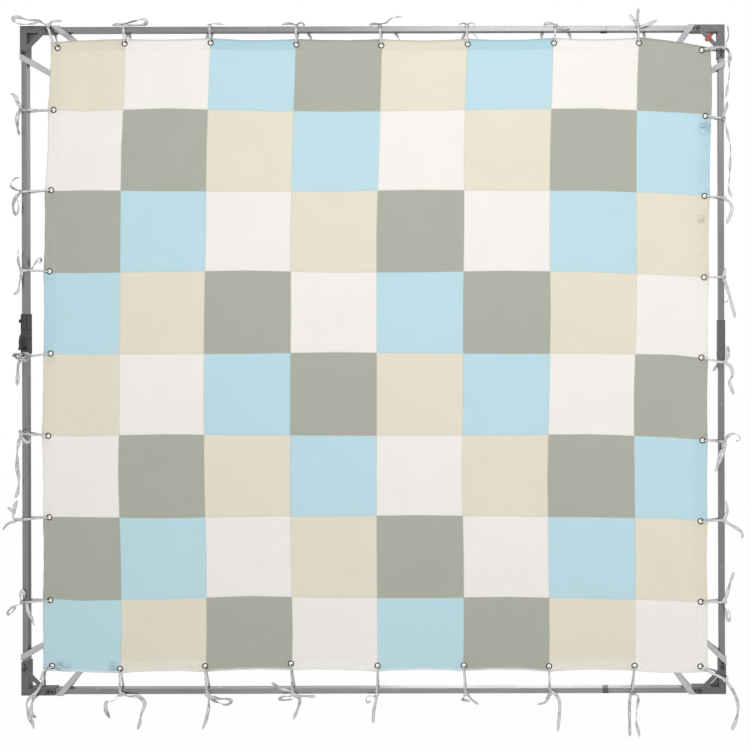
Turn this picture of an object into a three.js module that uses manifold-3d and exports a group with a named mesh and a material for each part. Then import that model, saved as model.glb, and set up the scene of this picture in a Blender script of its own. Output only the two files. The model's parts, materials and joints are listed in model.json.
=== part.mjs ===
// A checkered bounce cloth laced with tape ties into a knock-down frame of square tube.
// Millimetres, +X right, +Z up, front towards -Y. The frame is drawn about its own centre
// and then set so that the middle of the top rail's rear face is the origin.
import * as THREE from "three";
import { mergeVertices } from "three/addons/utils/BufferGeometryUtils.js";
import Module from "manifold-3d";

const wasm = await Module();
wasm.setup();

// Frame; joined shapes run into each other by SINK
const FRAME_WIDTH = 2438.4;
const FRAME_HEIGHT = 2317;
const TUBE = 19.05;
const TUBE_WALL = 1.6;
const FIT = 0.3;
const SLEEVE_WALL = 2.2;
const EDGE_ROUND = 1.2;
const BORE_ROUND = 0.2;
const SINK = 1;
const SLEEVE = TUBE + 2 * (FIT + SLEEVE_WALL);
const HALF_W = FRAME_WIDTH / 2;
const HALF_H = FRAME_HEIGHT / 2;
const SIDE_X = HALF_W - SLEEVE / 2;
const RAIL_Z = HALF_H - SLEEVE / 2;

// Corner elbows, their gussets and diagonal braces
const ARM = 116;
const TUBE_STOP = 32;
const GUSSET_TOP_LEFT = 46;
const GUSSET_BOTTOM_RIGHT = 33;
const GUSSET_THICK = 3;
const BRACE_FROM_CORNER = 92;
const BRACE_WIDE = 14;
const BRACE_THICK = 3;
const BOLT_R = 2.5;
const BOLT_HEAD_R = 4.5;
const BOLT_HEAD = 2.5;

// Plug joint near the right end of both rails
const PLUG_FROM_CORNER = 417;
const PLUG_COLLAR = 21;
const PLUG_REACH = 80;

// Side couplers, each with a clamp lever and a pull pin
const COUPLER = 139;
const COUPLER_LEFT_Z = 92;
const COUPLER_RIGHT_Z = 66;
const SPLIT_ABOVE_END = 35;
const SPLIT_GAP = 0.6;
const LEVER_LONG = 51;
const LEVER_CLEAR = 0.6;
const LEVER_PROUD = 11;
const LEVER_PIVOT_OUT = SLEEVE / 2 + 5.2;
const LEVER_PIVOT_Z = -50.7;
const LEVER_PIN_R = 2;
const LEVER_WIDE = 13.2;
const EAR_THICK = 3;
const EAR_GAP = 0.8;
const EAR_ROUND_PIN = 4;
const EAR_DOWN = 5;
const EAR_UP = 6;
const PIN_Z = 45.2;
const PIN_R = 2.2;
const PIN_REACH = 3;
const PIN_KNOB_R = 4.5;
const PIN_BOSS = 4;
const PIN_BOSS_R = 5.5;
const PIN_KNOB = 6.6;
const RUN = 0.4;

// Lock lever on the top right brace
const LOCK_PLATE = [
  [-16, -4], [-12, -8], [3, -8], [14, -4.5], [21, -2], [21, 3], [14, 5.5], [3, 8], [-12, 7], [-16, 4],
];
const LOCK_THICK = 5;
const LOCK_TURN = 47;
const LOCK_BORE_SIDES = 12;
const LOCK_ALONG_BRACE = 0.56;

// Cloth of square patches with its eyelets
const PATCHES = 8;
const PATCH_MARGIN = 27;
const PATCH_WIDE = (FRAME_WIDTH - 2 * PATCH_MARGIN) / PATCHES;
const PATCH_TALL = (FRAME_HEIGHT - 2 * PATCH_MARGIN) / PATCHES;
const CLOTH = 1.2;
const EYELET_R = 11.5;
const EYELET_HOLE_R = 6.5;
const EYELET_THICK = 4;
const EYELET_SIDES = 10;

// Tape ties and webbing straps
const TAPE = 9;
const TAPE_THICK = 1.2;
const TAPE_ON_EDGE = 1.7;
const TIE_GAP = 0.3;
const TIE_IN_EYE = 3;
const TIE_EYE_DEEP = 3.2;
const TIE_CORNER_LEAD = 30;
const TIE_SINK = 0.2;
const KNOT_LONG = 13;
const KNOT_THICK = 4;
const KNOT_IN = 6;
const KNOT_OUT = 6.5;
const KNOT_ROUND = 2.5;
const STRAP = 20;
const STRAP_THICK = 1.6;
const STRAP_BEHIND = 3.1;
const STRAP_SEWN = 60;
const STRAP_PAST_EDGE = 8;
const STRAP_FOLD = 0.2;

const finish = (color, roughness, metalness) =>
  new THREE.MeshStandardMaterial({ color, roughness, metalness });
const TUBE_GREY = finish(0x8f9090, 0.42, 0.85);
const CAST_GREY = finish(0x55565a, 0.55, 0.6);
const BLACK = finish(0x2c2c2e, 0.5, 0.1);
const STEEL = finish(0x9a9a98, 0.35, 0.9);
const RED = finish(0xb8452f, 0.45, 0);
const CLOTH_WHITE = finish(0xe6e0d2, 0.9, 0);
const TAPE_WHITE = finish(0xd2d2ce, 0.9, 0);
const WEB_GREY = finish(0xb9b9b7, 0.85, 0);

// How far the cloth's edge lies inside each tube's centre line: at every eyelet and halfway
// between them, from the left or from below, and at the corners beside the upright and the rail.
const EDGE_TOP = [34, 30, 32, 27, 35, 31, 36, 32, 37, 31, 36, 29, 35, 28, 43];
const EDGE_BOTTOM = [64, 59, 66, 63, 71, 69, 70, 62, 69, 64, 69, 61, 68, 63, 56];
const EDGE_LEFT = [56, 56, 59, 57, 57, 53, 57, 59, 62, 60, 65, 65, 75, 76, 85];
const EDGE_RIGHT = [49, 48, 52, 48, 50, 47, 49, 45, 46, 41, 42, 38, 37, 32, 30];
const CORNER_TOP_LEFT = [88, 40];
const CORNER_TOP_RIGHT = [36, 64];
const CORNER_BOTTOM_LEFT = [57, 69];
const CORNER_BOTTOM_RIGHT = [48, 60];

// One row per tie: the side whose tube it goes round, the seam it belongs to, counted in steps
// from the middle one, how far from that seam it crosses the tube, and its eyelet, as the
// distance from that seam and the inset from the tube's centre line. A loose end is drawn as
// [along, out] from the crossing, with out counted from the tube's outer face; it lies flat or
// edge-on, in front or behind. A proud tie lies beside a coupler. A corner's tie goes round an
// elbow and its brace: it is placed from the outer corner, its eyelet from both tubes.
const TIES = [
  { name: "top_1", side: "top", step: -3, at: 2, eye: [0, 46], ends: [
    ["front", "edge", [-2, 6], [-16, 5], [-35, 2]],
    ["front", "edge", [1, 6], [26, 12], [57, 21], [78, 21], [84, 12], [74, 4], [53, 2], [8, 3]],
    ["rear", "flat", [2, -6], [12, -36]],
  ] },
  { name: "top_2", side: "top", step: -2, at: 2, eye: [1, 43], ends: [
    ["front", "edge", [1, 3], [22, 8], [53, 3]],
    ["rear", "flat", [-3, -6], [-25, -36]],
  ] },
  { name: "top_3", side: "top", step: -1, at: 3, eye: [1, 50], ends: [
    ["front", "edge", [0, 3], [-21, 7], [-48, 2]],
    ["front", "edge", [3, 1], [17, 9], [31, 5], [26, 0]],
    ["rear", "edge", [2, -8], [30, -13], [38, -22], [46, -40]],
  ] },
  { name: "top_4", side: "top", step: 0, at: -4, eye: [-2, 54], ends: [
    ["front", "edge", [0, 5], [-21, 5], [-38, 1]],
    ["front", "edge", [3, 5], [21, 8], [38, 22], [59, 29], [76, 29]],
    ["rear", "edge", [2, -8], [45, -13], [53, -22], [64, -42]],
  ] },
  { name: "top_5", side: "top", step: 1, at: -2, eye: [0, 50], ends: [
    ["front", "edge", [1, 3], [-12, 7], [-26, 2]],
    ["front", "edge", [5, 3], [19, 8], [29, 1]],
    ["rear", "edge", [-2, -8], [-23, -42]],
    ["rear", "edge", [2, -8], [29, -25], [36, -42]],
  ] },
  { name: "top_6", side: "top", step: 2, at: 7, eye: [2, 47], ends: [
    ["front", "edge", [-1, 0], [-15, 5], [-32, 5], [-41, 1]],
    ["front", "flat", [-3, -3], [13, -9], [48, -11]],
    ["rear", "flat", [-3, -8], [-40, -12], [-47, -22], [-47, -41]],
    ["rear", "flat", [3, -8], [42, -12], [49, -21], [56, -38]],
  ] },
  { name: "top_7", side: "top", step: 3, at: -5, eye: [-1, 47], ends: [
    ["front", "flat", [-1, -7], [-13, 14], [-30, 36]],
    ["front", "flat", [1, -7], [-3, 17], [1, 59]],
    ["front", "flat", [4, -7], [35, 3], [66, 16]],
    ["rear", "flat", [3, -8], [20, -13], [25, -24], [25, -45]],
  ] },
  { name: "bottom_1", side: "bottom", step: -3, at: 5, eye: [-1, 74], ends: [
    ["front", "edge", [-1, -2], [-21, 19], [-42, 20], [-46, 50], [-32, 78]],
    ["front", "flat", [3, -6], [34, 4], [62, 5], [86, 23], [75, 68], [64, 118]],
  ] },
  { name: "bottom_2", side: "bottom", step: -2, at: 7, eye: [-3, 83], ends: [
    ["front", "flat", [4, -8], [9, 17], [1, 79], [-14, 118]],
    ["front", "edge", [6, 3], [46, 12], [77, 13], [88, 22], [70, 33], [39, 24], [15, 13]],
  ] },
  { name: "bottom_3", side: "bottom", step: -1, at: 6, eye: [-3, 91], ends: [
    ["front", "flat", [1, -10], [-37, -20], [-73, -41]],
    ["front", "edge", [-2, 4], [-30, 5], [-45, 11], [-30, 17], [1, 14]],
    ["front", "edge", [5, 4], [46, 3], [81, 5]],
    ["front", "flat", [5, -3], [24, 11], [19, 49], [3, 84]],
  ] },
  { name: "bottom_4", side: "bottom", step: 0, at: 0, eye: [0, 83], ends: [
    ["front", "flat", [-1, -5], [-3, 22], [-10, 53], [-13, 100]],
    ["front", "edge", [-4, 5], [-27, 4], [-37, 13], [-32, 26], [-20, 20]],
  ] },
  { name: "bottom_5", side: "bottom", step: 1, at: 7, eye: [2, 84], ends: [
    ["front", "flat", [0, -11], [21, 16], [45, 36]],
    ["front", "edge", [0, 3], [-10, 14], [17, 22]],
  ] },
  { name: "bottom_6", side: "bottom", step: 2, at: 2, eye: [0, 80], ends: [
    ["front", "flat", [2, -7], [-16, 28], [-43, 35]],
    ["front", "flat", [3, -10], [23, 4], [33, 24], [33, 63], [28, 128]],
  ] },
  { name: "bottom_7", side: "bottom", step: 3, at: -9, eye: [-1, 81], ends: [
    ["front", "flat", [-2, -13], [-10, 15], [-11, 146]],
    ["front", "edge", [2, -6], [17, 8], [14, 50], [10, 91], [24, 146]],
  ] },
  { name: "left_1", side: "left", step: 3, at: -3, eye: [0, 96], ends: [
    ["front", "flat", [-1, -7], [19, 7], [47, 17], [57, 34]],
    ["front", "edge", [-1, -3], [-22, 8], [-57, 8], [-88, 2]],
  ] },
  { name: "left_2", side: "left", step: 2, at: -2, eye: [4, 87], ends: [
    ["front", "edge", [1, -6], [8, 18], [18, 32], [36, 25], [46, 13], [48, 4]],
    ["front", "edge", [-3, -3], [-25, 16], [-51, 24], [-82, 14], [-61, 5], [-30, 8]],
  ] },
  { name: "left_3", side: "left", step: 1, at: 9, eye: [5, 81], ends: [
    ["front", "edge", [2, -2], [26, 6], [70, 7]],
    ["front", "flat", [-3, -4], [-43, 3], [-71, 10], [-86, 24]],
    ["rear", "edge", [2, -15], [33, -35], [44, -44], [35, -51], [26, -44]],
  ] },
  { name: "left_4", side: "left", proud: true, step: 0, at: -8, eye: [2, 84], ends: [
    ["front", "edge", [3, -15], [10, 12], [5, 21], [-2, 9], [-5, -15]],
    ["front", "edge", [-3, -5], [-28, 5], [-69, 7], [-99, 9]],
  ] },
  { name: "left_5", side: "left", step: -1, at: 8, eye: [-1, 75], ends: [
    ["front", "edge", [3, -29], [14, -11], [12, 3], [-9, -5], [-28, -22], [-23, -34], [-9, -27]],
    ["front", "flat", [-2, -1], [-33, 9], [-78, 14], [-126, 12], [-175, 8], [-220, 18]],
  ] },
  { name: "left_6", side: "left", step: -2, at: -5, eye: [-1, 78], ends: [
    ["front", "flat", [0, -5], [3, 26], [42, 23], [66, 14]],
    ["front", "flat", [21, 23], [42, 47]],
    ["front", "edge", [-2, 2], [-7, 25], [-14, 44], [-35, 61]],
  ] },
  { name: "left_7", side: "left", step: -3, at: -9, eye: [-6, 81], ends: [
    ["front", "edge", [-1, -6], [20, 3], [43, -3], [32, -12], [13, -9]],
    ["front", "edge", [-4, 5], [-15, 29], [-34, 46], [-41, 41], [-21, 22], [-16, 17]],
    ["front", "flat", [-1, -16], [-35, -26], [-79, -45]],
  ] },
  { name: "right_1", side: "right", step: 3, at: -15, eye: [-5, 52], ends: [
    ["front", "flat", [1, -7], [30, 5], [56, 11]],
    ["front", "edge", [-1, -3], [-43, 8], [-105, 20], [-181, 18], [-250, 15], [-275, 25]],
  ] },
  { name: "right_2", side: "right", step: 2, at: -7, eye: [0, 56], ends: [
    ["front", "flat", [-1, -6], [-18, 18], [-34, 26], [-58, 21], [-91, 7]],
  ] },
  { name: "right_3", side: "right", step: 1, at: 1, eye: [0, 58], ends: [
    ["front", "flat", [0, -5], [31, 4]],
    ["front", "flat", [-2, -5], [-44, 10], [-85, 22], [-141, 36]],
    ["front", "edge", [-68, 17], [-83, 9], [-89, -3]],
  ] },
  { name: "right_4", side: "right", proud: true, step: 0, at: -12, eye: [4, 68], ends: [
    ["front", "edge", [2, 4.5], [35, 8], [54, 9], [35, 16], [14, 12]],
    ["front", "flat", [0, -5], [-14, 19], [-42, 26], [-66, 15], [-87, 21], [-111, 29]],
    ["rear", "flat", [-2, -12], [-33, -34]],
  ] },
  { name: "right_5", side: "right", step: -1, at: -3, eye: [-1, 65], ends: [
    ["front", "edge", [0, -3], [21, 11], [29, 29], [21, 46], [7, 51], [3, 37]],
    ["front", "flat", [-3, -3], [-42, -15], [-76, -24], [-104, -32]],
  ] },
  { name: "right_6", side: "right", step: -2, at: 8, eye: [1, 72], ends: [
    ["front", "flat", [0, -6], [30, 7], [66, 3]],
    ["front", "flat", [-1, -6], [-19, 25], [-34, 49], [-45, 59], [-62, 59]],
  ] },
  { name: "right_7", side: "right", step: -3, at: 7, eye: [4, 72], ends: [
    ["front", "flat", [1, -9], [34, 8], [68, 16], [105, 31]],
    ["front", "edge", [-1, -9], [-29, 2], [-62, 8], [-56, 16], [-25, 10]],
  ] },
  { name: "corner_top_left", side: "top", corner: [-1, 1], at: 102, eye: [111, 60], ends: [
    ["front", "edge", [-3, -3], [-26, 12], [-68, 17], [-99, 26], [-115, 24], [-118, 16],
      [-106, 5], [-75, 2], [-33, 6]],
    ["front", "flat", [-3, -7], [14, 10], [46, 14]],
  ] },
  { name: "corner_top_right", side: "right", corner: [1, 1], at: 80, eye: [64, 73], ends: [
    ["front", "edge", [2, -9], [26, 8], [47, 10], [71, 7]],
    ["front", "flat", [-2, -9], [-14, 10], [-50, 21]],
    ["front", "edge", [-12, 10], [-64, 12], [-113, 11], [-175, 0]],
  ] },
  { name: "corner_bottom_left", side: "bottom", corner: [-1, -1], at: 57, eye: [87, 85],
    ends: [
      ["front", "flat", [-1, -15], [-25, 6], [-33, 25], [-28, 51], [-8, 110]],
      ["front", "flat", [-4, -11], [-15, 27], [-18, 54], [-1, 72]],
    ] },
  { name: "corner_bottom_right", side: "right", corner: [1, -1], at: 60, eye: [74, 78],
    ends: [
      ["front", "flat", [-3, -13], [-24, 8], [-62, 30], [-97, 39], [-145, 32], [-180, 15]],
    ] },
];

// Each strap's two crossings: side, distance from the outer corner, lean towards the corner
// in degrees, and how far inside the tube's centre line the cloth's edge lies there.
const STRAPS = [
  { name: "top_left", legs: [["top", -1, 135, 50, 33], ["left", 1, 112, 30, 87]] },
  { name: "top_right", legs: [["top", 1, 122, 35, 46], ["right", 1, 140, 26, 33]] },
  { name: "bottom_left", legs: [["left", -1, 138, 29, 57], ["bottom", -1, 142, 39, 62]] },
  { name: "bottom_right", legs: [["right", -1, 126, 41, 49], ["bottom", 1, 125, 37, 59]] },
];

const RIGHTWARD = new THREE.Vector3(1, 0, 0);
const UPWARD = new THREE.Vector3(0, 0, 1);
const FRONT = new THREE.Vector3(0, -1, 0);

// Each side's outward and lengthwise directions, its tube's centre line, half its length, the
// spacing of the cloth's seams along it, and how far the middle seam lies off the middle.
const acrossRails = { way: RIGHTWARD, line: RAIL_Z, half: HALF_W, pitch: PATCH_WIDE };
const acrossSides = { way: UPWARD, line: SIDE_X, half: HALF_H, pitch: PATCH_TALL };
const SIDES = {
  top: { ...acrossRails, out: UPWARD, shift: 31 },
  bottom: { ...acrossRails, out: UPWARD.clone().negate(), shift: 11 },
  left: { ...acrossSides, out: RIGHTWARD.clone().negate(), shift: 22 },
  right: { ...acrossSides, out: RIGHTWARD, shift: 1 },
};

/** A closed geometry, moved by a matrix, as a solid for joining and cutting. */
function solid(geometry, matrix = new THREE.Matrix4()) {
  const bare = geometry.clone().applyMatrix4(matrix);
  bare.deleteAttribute("normal");
  bare.deleteAttribute("uv");
  const merged = mergeVertices(bare, 1e-3);
  const triVerts = new Uint32Array(merged.index.array);
  if (matrix.determinant() < 0) {
    for (let i = 0; i < triVerts.length; i += 3) {
      [triVerts[i + 1], triVerts[i + 2]] = [triVerts[i + 2], triVerts[i + 1]];
    }
  }
  const vertProperties = merged.attributes.position.array;
  return new wasm.Manifold(new wasm.Mesh({ numProp: 3, vertProperties, triVerts }));
}

/** All solids joined into one. */
const join = (...solids) => solids.reduce((whole, next) => whole.add(next));

/** Moves a finished solid by a matrix. */
const moved = (body, matrix) => body.transform(matrix.elements);

/** A solid as a named mesh. */
function piece(name, body, material) {
  const found = body.getMesh();
  const geometry = new THREE.BufferGeometry();
  const places = new THREE.BufferAttribute(new Float32Array(found.vertProperties), 3);
  geometry.setAttribute("position", places);
  geometry.setIndex(new THREE.BufferAttribute(new Uint32Array(found.triVerts), 1));
  geometry.computeVertexNormals();
  const mesh = new THREE.Mesh(geometry, material);
  mesh.name = name;
  return mesh;
}

/** A box between two corners. */
function box(low, high) {
  const size = high.map((v, i) => v - low[i]);
  const middle = high.map((v, i) => (v + low[i]) / 2);
  const shift = new THREE.Matrix4().makeTranslation(...middle);
  return solid(new THREE.BoxGeometry(...size), shift);
}

/** A round bar of radius r from one point to another. */
function bar(from, to, r, sides = 12) {
  const a = new THREE.Vector3(...from);
  const b = new THREE.Vector3(...to);
  const way = b.clone().sub(a);
  const turn = new THREE.Quaternion().setFromUnitVectors(
    new THREE.Vector3(0, 1, 0), way.clone().normalize());
  const middle = a.add(b).multiplyScalar(0.5);
  const place = new THREE.Matrix4().compose(middle, turn, new THREE.Vector3(1, 1, 1));
  return solid(new THREE.CylinderGeometry(r, r, way.length(), sides), place);
}

/** A flat outline of [u, v] points, made thick along the third axis of a frame. */
function plate(points, depth, origin, u, v, w) {
  const shape = new THREE.Shape(points.map((p) => new THREE.Vector2(...p)));
  const geometry = new THREE.ExtrudeGeometry(shape, { depth, bevelEnabled: false });
  const frame = new THREE.Matrix4().makeBasis(u, v, w).setPosition(origin);
  return solid(geometry, frame);
}

/** The points of a circle. */
function circle(x, y, r, sides) {
  return Array.from({ length: sides }, (_, i) => {
    const angle = (i / sides) * Math.PI * 2;
    return new THREE.Vector2(x + r * Math.cos(angle), y + r * Math.sin(angle));
  });
}

/** A square outline with small cut corners. */
function square(side, cut) {
  const h = side / 2;
  return [
    [h - cut, -h], [h, cut - h], [h, h - cut], [h - cut, h],
    [cut - h, h], [-h, h - cut], [-h, cut - h], [cut - h, -h],
  ];
}

/** Square tube along Z from low to high, centred on [x, 0]. */
function upright(x, low, high, outer, inner) {
  const shape = new THREE.Shape(square(outer, EDGE_ROUND).map((p) => new THREE.Vector2(...p)));
  shape.holes.push(new THREE.Path(square(inner, BORE_ROUND).map((p) => new THREE.Vector2(...p))));
  const geometry = new THREE.ExtrudeGeometry(shape, { depth: high - low, bevelEnabled: false });
  return solid(geometry, new THREE.Matrix4().makeTranslation(x, 0, low));
}

/** Square tube of the frame's size along X from low to high at height z. */
function level(z, low, high) {
  const lay = new THREE.Matrix4().makeRotationY(Math.PI / 2).setPosition(0, 0, z);
  return moved(upright(0, low, high, TUBE, TUBE - 2 * TUBE_WALL), lay);
}

/** The outline of a strip of that width along a line of points. */
function strip(points, width) {
  const left = [];
  const right = [];
  points.forEach((p, i) => {
    const here = new THREE.Vector2(...p);
    const before = i > 0 ? here.clone().sub(new THREE.Vector2(...points[i - 1])).normalize() : null;
    const after = i < points.length - 1
      ? new THREE.Vector2(...points[i + 1]).sub(here).normalize() : null;
    const way = (before ?? after).clone().add(after ?? before).normalize();
    const spread = Math.max(0.6, way.dot(after ?? before));
    const side = new THREE.Vector2(-way.y, way.x).multiplyScalar(width / 2 / spread);
    left.push([here.x + side.x, here.y + side.y]);
    right.push([here.x - side.x, here.y - side.y]);
  });
  return [...right, ...left.reverse()];
}

/** A closed band of that width: a ring in the plane of u and depth, points anticlockwise. */
function band(inner, outer, width, middle, u, across) {
  const shape = new THREE.Shape(outer.map((p) => new THREE.Vector2(...p)));
  shape.holes.push(new THREE.Path(inner.map((p) => new THREE.Vector2(...p))));
  const geometry = new THREE.ExtrudeGeometry(shape, { depth: width, bevelEnabled: false });
  const origin = middle.clone().addScaledVector(across, -width / 2);
  return solid(geometry, new THREE.Matrix4().makeBasis(u, FRONT, across).setPosition(origin));
}

const rear = TUBE / 2;
const bore = TUBE + 2 * FIT;
const assembly = new THREE.Group();
assembly.position.set(0, -rear, -RAIL_Z);
const add = (name, body, material) => assembly.add(piece(name, body, material));

/** The elbow of one corner: two sleeves, holes for the brace's bolts, and its gusset. */
function elbow(sx, sz, gusset) {
  const h = SLEEVE / 2;
  const b = bore / 2;
  const reach = (from, to, s) => [s * from, s * to].sort((a, c) => a - c);
  const cut = (xs, zs, y) => box([xs[0], -y, zs[0]], [xs[1], y, zs[1]]);
  const acrossX = reach(HALF_W - ARM, HALF_W, sx);
  const acrossZ = reach(HALF_H - SLEEVE, HALF_H, sz);
  const downX = reach(HALF_W - SLEEVE, HALF_W, sx);
  const downZ = reach(HALF_H - ARM, HALF_H, sz);
  let made = join(cut(acrossX, acrossZ, h), cut(downX, downZ, h));
  const holeX = reach(HALF_W - ARM - SINK, HALF_W - TUBE_STOP, sx);
  const holeZ = reach(HALF_H - ARM - SINK, HALF_H - TUBE_STOP, sz);
  made = made.subtract(cut(holeX, reach(RAIL_Z - b, RAIL_Z + b, sz), b));
  made = made.subtract(cut(reach(SIDE_X - b, SIDE_X + b, sx), holeZ, b));
  for (const [x, z] of boltPlaces(sx, sz)) {
    made = made.subtract(bar([x, -h - SINK, z], [x, -b + SINK, z], BOLT_R + FIT));
  }
  if (gusset) {
    const x = sx * (HALF_W - SLEEVE + SINK);
    const z = sz * (HALF_H - SLEEVE + SINK);
    const corner = [[0, 0], [-sx * gusset, 0], [0, -sz * gusset]];
    const origin = new THREE.Vector3(x, GUSSET_THICK / 2, z);
    made = join(made, plate(corner, GUSSET_THICK, origin, RIGHTWARD, UPWARD, FRONT));
  }
  return made;
}

/** Where the brace is bolted to the two arms of one corner. */
function boltPlaces(sx, sz) {
  return [
    [sx * SIDE_X, sz * (HALF_H - BRACE_FROM_CORNER)],
    [sx * (HALF_W - BRACE_FROM_CORNER), sz * RAIL_Z],
  ];
}

const braceBack = -(SLEEVE / 2 + FIT);
const braceFront = braceBack - BRACE_THICK;

/** The diagonal brace of one corner with its two bolts, and a pivot for a lock lever. */
function brace(sx, sz, pivot) {
  const [p, q] = boltPlaces(sx, sz).map((at) => new THREE.Vector2(...at));
  const way = q.clone().sub(p);
  const turn = Math.atan2(way.y, way.x);
  const outline = new THREE.Shape();
  outline.absarc(0, 0, BRACE_WIDE / 2, Math.PI / 2, Math.PI * 1.5, false);
  outline.absarc(way.length(), 0, BRACE_WIDE / 2, -Math.PI / 2, Math.PI / 2, false);
  const flat = { depth: BRACE_THICK, bevelEnabled: false, curveSegments: 5 };
  const geometry = new THREE.ExtrudeGeometry(outline, flat);
  const u = new THREE.Vector3(Math.cos(turn), 0, Math.sin(turn));
  const v = new THREE.Vector3(-Math.sin(turn), 0, Math.cos(turn));
  const origin = new THREE.Vector3(p.x, braceBack, p.y);
  let made = solid(geometry, new THREE.Matrix4().makeBasis(u, v, FRONT).setPosition(origin));
  for (const { x, y: z } of [p, q]) {
    made = join(made,
      bar([x, braceFront - BOLT_HEAD, z], [x, braceFront + SINK, z], BOLT_HEAD_R, 8),
      bar([x, braceBack - SINK, z], [x, braceBack + SLEEVE_WALL, z], BOLT_R));
  }
  if (pivot) {
    const { x, y: z } = pivot;
    const tip = braceFront - LOCK_THICK - 2 * FIT;
    made = join(made, bar([x, tip, z], [x, braceFront + SINK, z], BOLT_R));
  }
  return made;
}

const CORNERS = [
  ["top_left", -1, 1, GUSSET_TOP_LEFT], ["top_right", 1, 1, 0],
  ["bottom_left", -1, -1, 0], ["bottom_right", 1, -1, GUSSET_BOTTOM_RIGHT],
];
const [lockLow, lockHigh] = boltPlaces(1, 1).map((at) => new THREE.Vector2(...at));
const lockPivot = lockLow.clone().lerp(lockHigh, LOCK_ALONG_BRACE);
for (const [name, sx, sz, gusset] of CORNERS) {
  add(`elbow_${name}`, elbow(sx, sz, gusset), CAST_GREY);
  add(`brace_${name}`, brace(sx, sz, name === "top_right" ? lockPivot : null), CAST_GREY);
}

/** The red lock lever: a plate on the brace's pivot, tapered to a thumb tab. */
function lockLever() {
  const turn = THREE.MathUtils.degToRad(LOCK_TURN);
  const shape = new THREE.Shape(LOCK_PLATE.map((p) => new THREE.Vector2(...p)));
  shape.holes.push(new THREE.Path(circle(0, 0, BOLT_R + RUN, LOCK_BORE_SIDES)));
  const flat = { depth: LOCK_THICK, bevelEnabled: false };
  const u = new THREE.Vector3(Math.cos(turn), 0, Math.sin(turn));
  const v = new THREE.Vector3(-Math.sin(turn), 0, Math.cos(turn));
  const origin = new THREE.Vector3(lockPivot.x, braceFront - FIT, lockPivot.y);
  const frame = new THREE.Matrix4().makeBasis(u, v, FRONT).setPosition(origin);
  return solid(new THREE.ExtrudeGeometry(shape, flat), frame);
}
add("lock_lever", lockLever(), RED);

// Rails: the long length reaches the plug joint, the short one carries collar and plug.
const railEnd = HALF_W - TUBE_STOP - FIT;
const plugSide = TUBE - 2 * TUBE_WALL - 2 * FIT;
for (const [name, z] of [["top", RAIL_Z], ["bottom", -RAIL_Z]]) {
  const jointLow = HALF_W - PLUG_FROM_CORNER - PLUG_COLLAR / 2;
  add(`${name}_rail_long`, level(z, -railEnd, jointLow - FIT), TUBE_GREY);
  const p = plugSide / 2;
  const jointHigh = jointLow + PLUG_COLLAR;
  const plug = box([jointLow - PLUG_REACH, -p, z - p], [jointHigh, p, z + p]);
  const t = TUBE / 2;
  const collar = box([jointLow, -t, z - t], [jointHigh, t, z + t]);
  const tube = level(z, jointHigh - SINK, railEnd);
  add(`${name}_rail_short`, join(tube, collar, plug), TUBE_GREY);
}

/** Places a coupler's own shape, drawn with its lever towards +X, on a side tube. */
function turned(x, z, quarter) {
  const turn = new THREE.Matrix4().makeRotationZ(quarter * Math.PI / 2);
  return new THREE.Matrix4().makeTranslation(x, 0, z).multiply(turn);
}

/** The coupler sleeve: bore, ears with the lever's pin, and the pull pin's boss. */
function couplerSleeve() {
  const out = SLEEVE / 2;
  const half = COUPLER / 2;
  let made = upright(0, -half, half, SLEEVE, bore);
  const ear = LEVER_WIDE / 2 + EAR_GAP;
  for (const s of [-1, 1]) {
    const ys = [s * ear, s * (ear + EAR_THICK)].sort((a, b) => a - b);
    const low = [out - SINK, ys[0], LEVER_PIVOT_Z - EAR_DOWN];
    const high = [LEVER_PIVOT_OUT + EAR_ROUND_PIN, ys[1], LEVER_PIVOT_Z + EAR_UP];
    made = join(made, box(low, high));
  }
  made = join(made, bar([LEVER_PIVOT_OUT, -ear - SINK, LEVER_PIVOT_Z],
    [LEVER_PIVOT_OUT, ear + SINK, LEVER_PIVOT_Z], LEVER_PIN_R));
  made = join(made, bar([out - SINK, 0, PIN_Z], [out + PIN_BOSS, 0, PIN_Z], PIN_BOSS_R, 16));
  return made.subtract(bar([0, 0, PIN_Z], [out + PIN_BOSS + SINK, 0, PIN_Z], PIN_R + RUN));
}

/** The clamp lever: its side outline, up from the pivot, made wide. */
function clampLever() {
  const near = SLEEVE / 2 + LEVER_CLEAR;
  const far = SLEEVE / 2 + LEVER_PROUD;
  const side = [
    [near, -1.6], [near + 1.6, -3.8], [LEVER_PIVOT_OUT, -4.7], [far - 2.4, -3.4], [far - 0.9, 5],
    [far, 20], [far - 1.2, 36], [far - 4, LEVER_LONG - 4], [near + 3, LEVER_LONG],
    [near, LEVER_LONG - 4],
  ];
  const origin = new THREE.Vector3(0, LEVER_WIDE / 2, LEVER_PIVOT_Z);
  const made = plate(side, LEVER_WIDE, origin, RIGHTWARD, UPWARD, FRONT);
  return made.subtract(bar([LEVER_PIVOT_OUT, -LEVER_WIDE, LEVER_PIVOT_Z],
    [LEVER_PIVOT_OUT, LEVER_WIDE, LEVER_PIVOT_Z], LEVER_PIN_R + RUN));
}

/** The sprung pull pin: its tip sits in a hole of the upper tube. */
function pullPin() {
  const knob = SLEEVE / 2 + PIN_BOSS + RUN;
  return join(bar([TUBE / 2 - PIN_REACH, 0, PIN_Z], [knob + SINK, 0, PIN_Z], PIN_R),
    bar([knob, 0, PIN_Z], [knob + PIN_KNOB, 0, PIN_Z], PIN_KNOB_R, 14));
}

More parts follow.
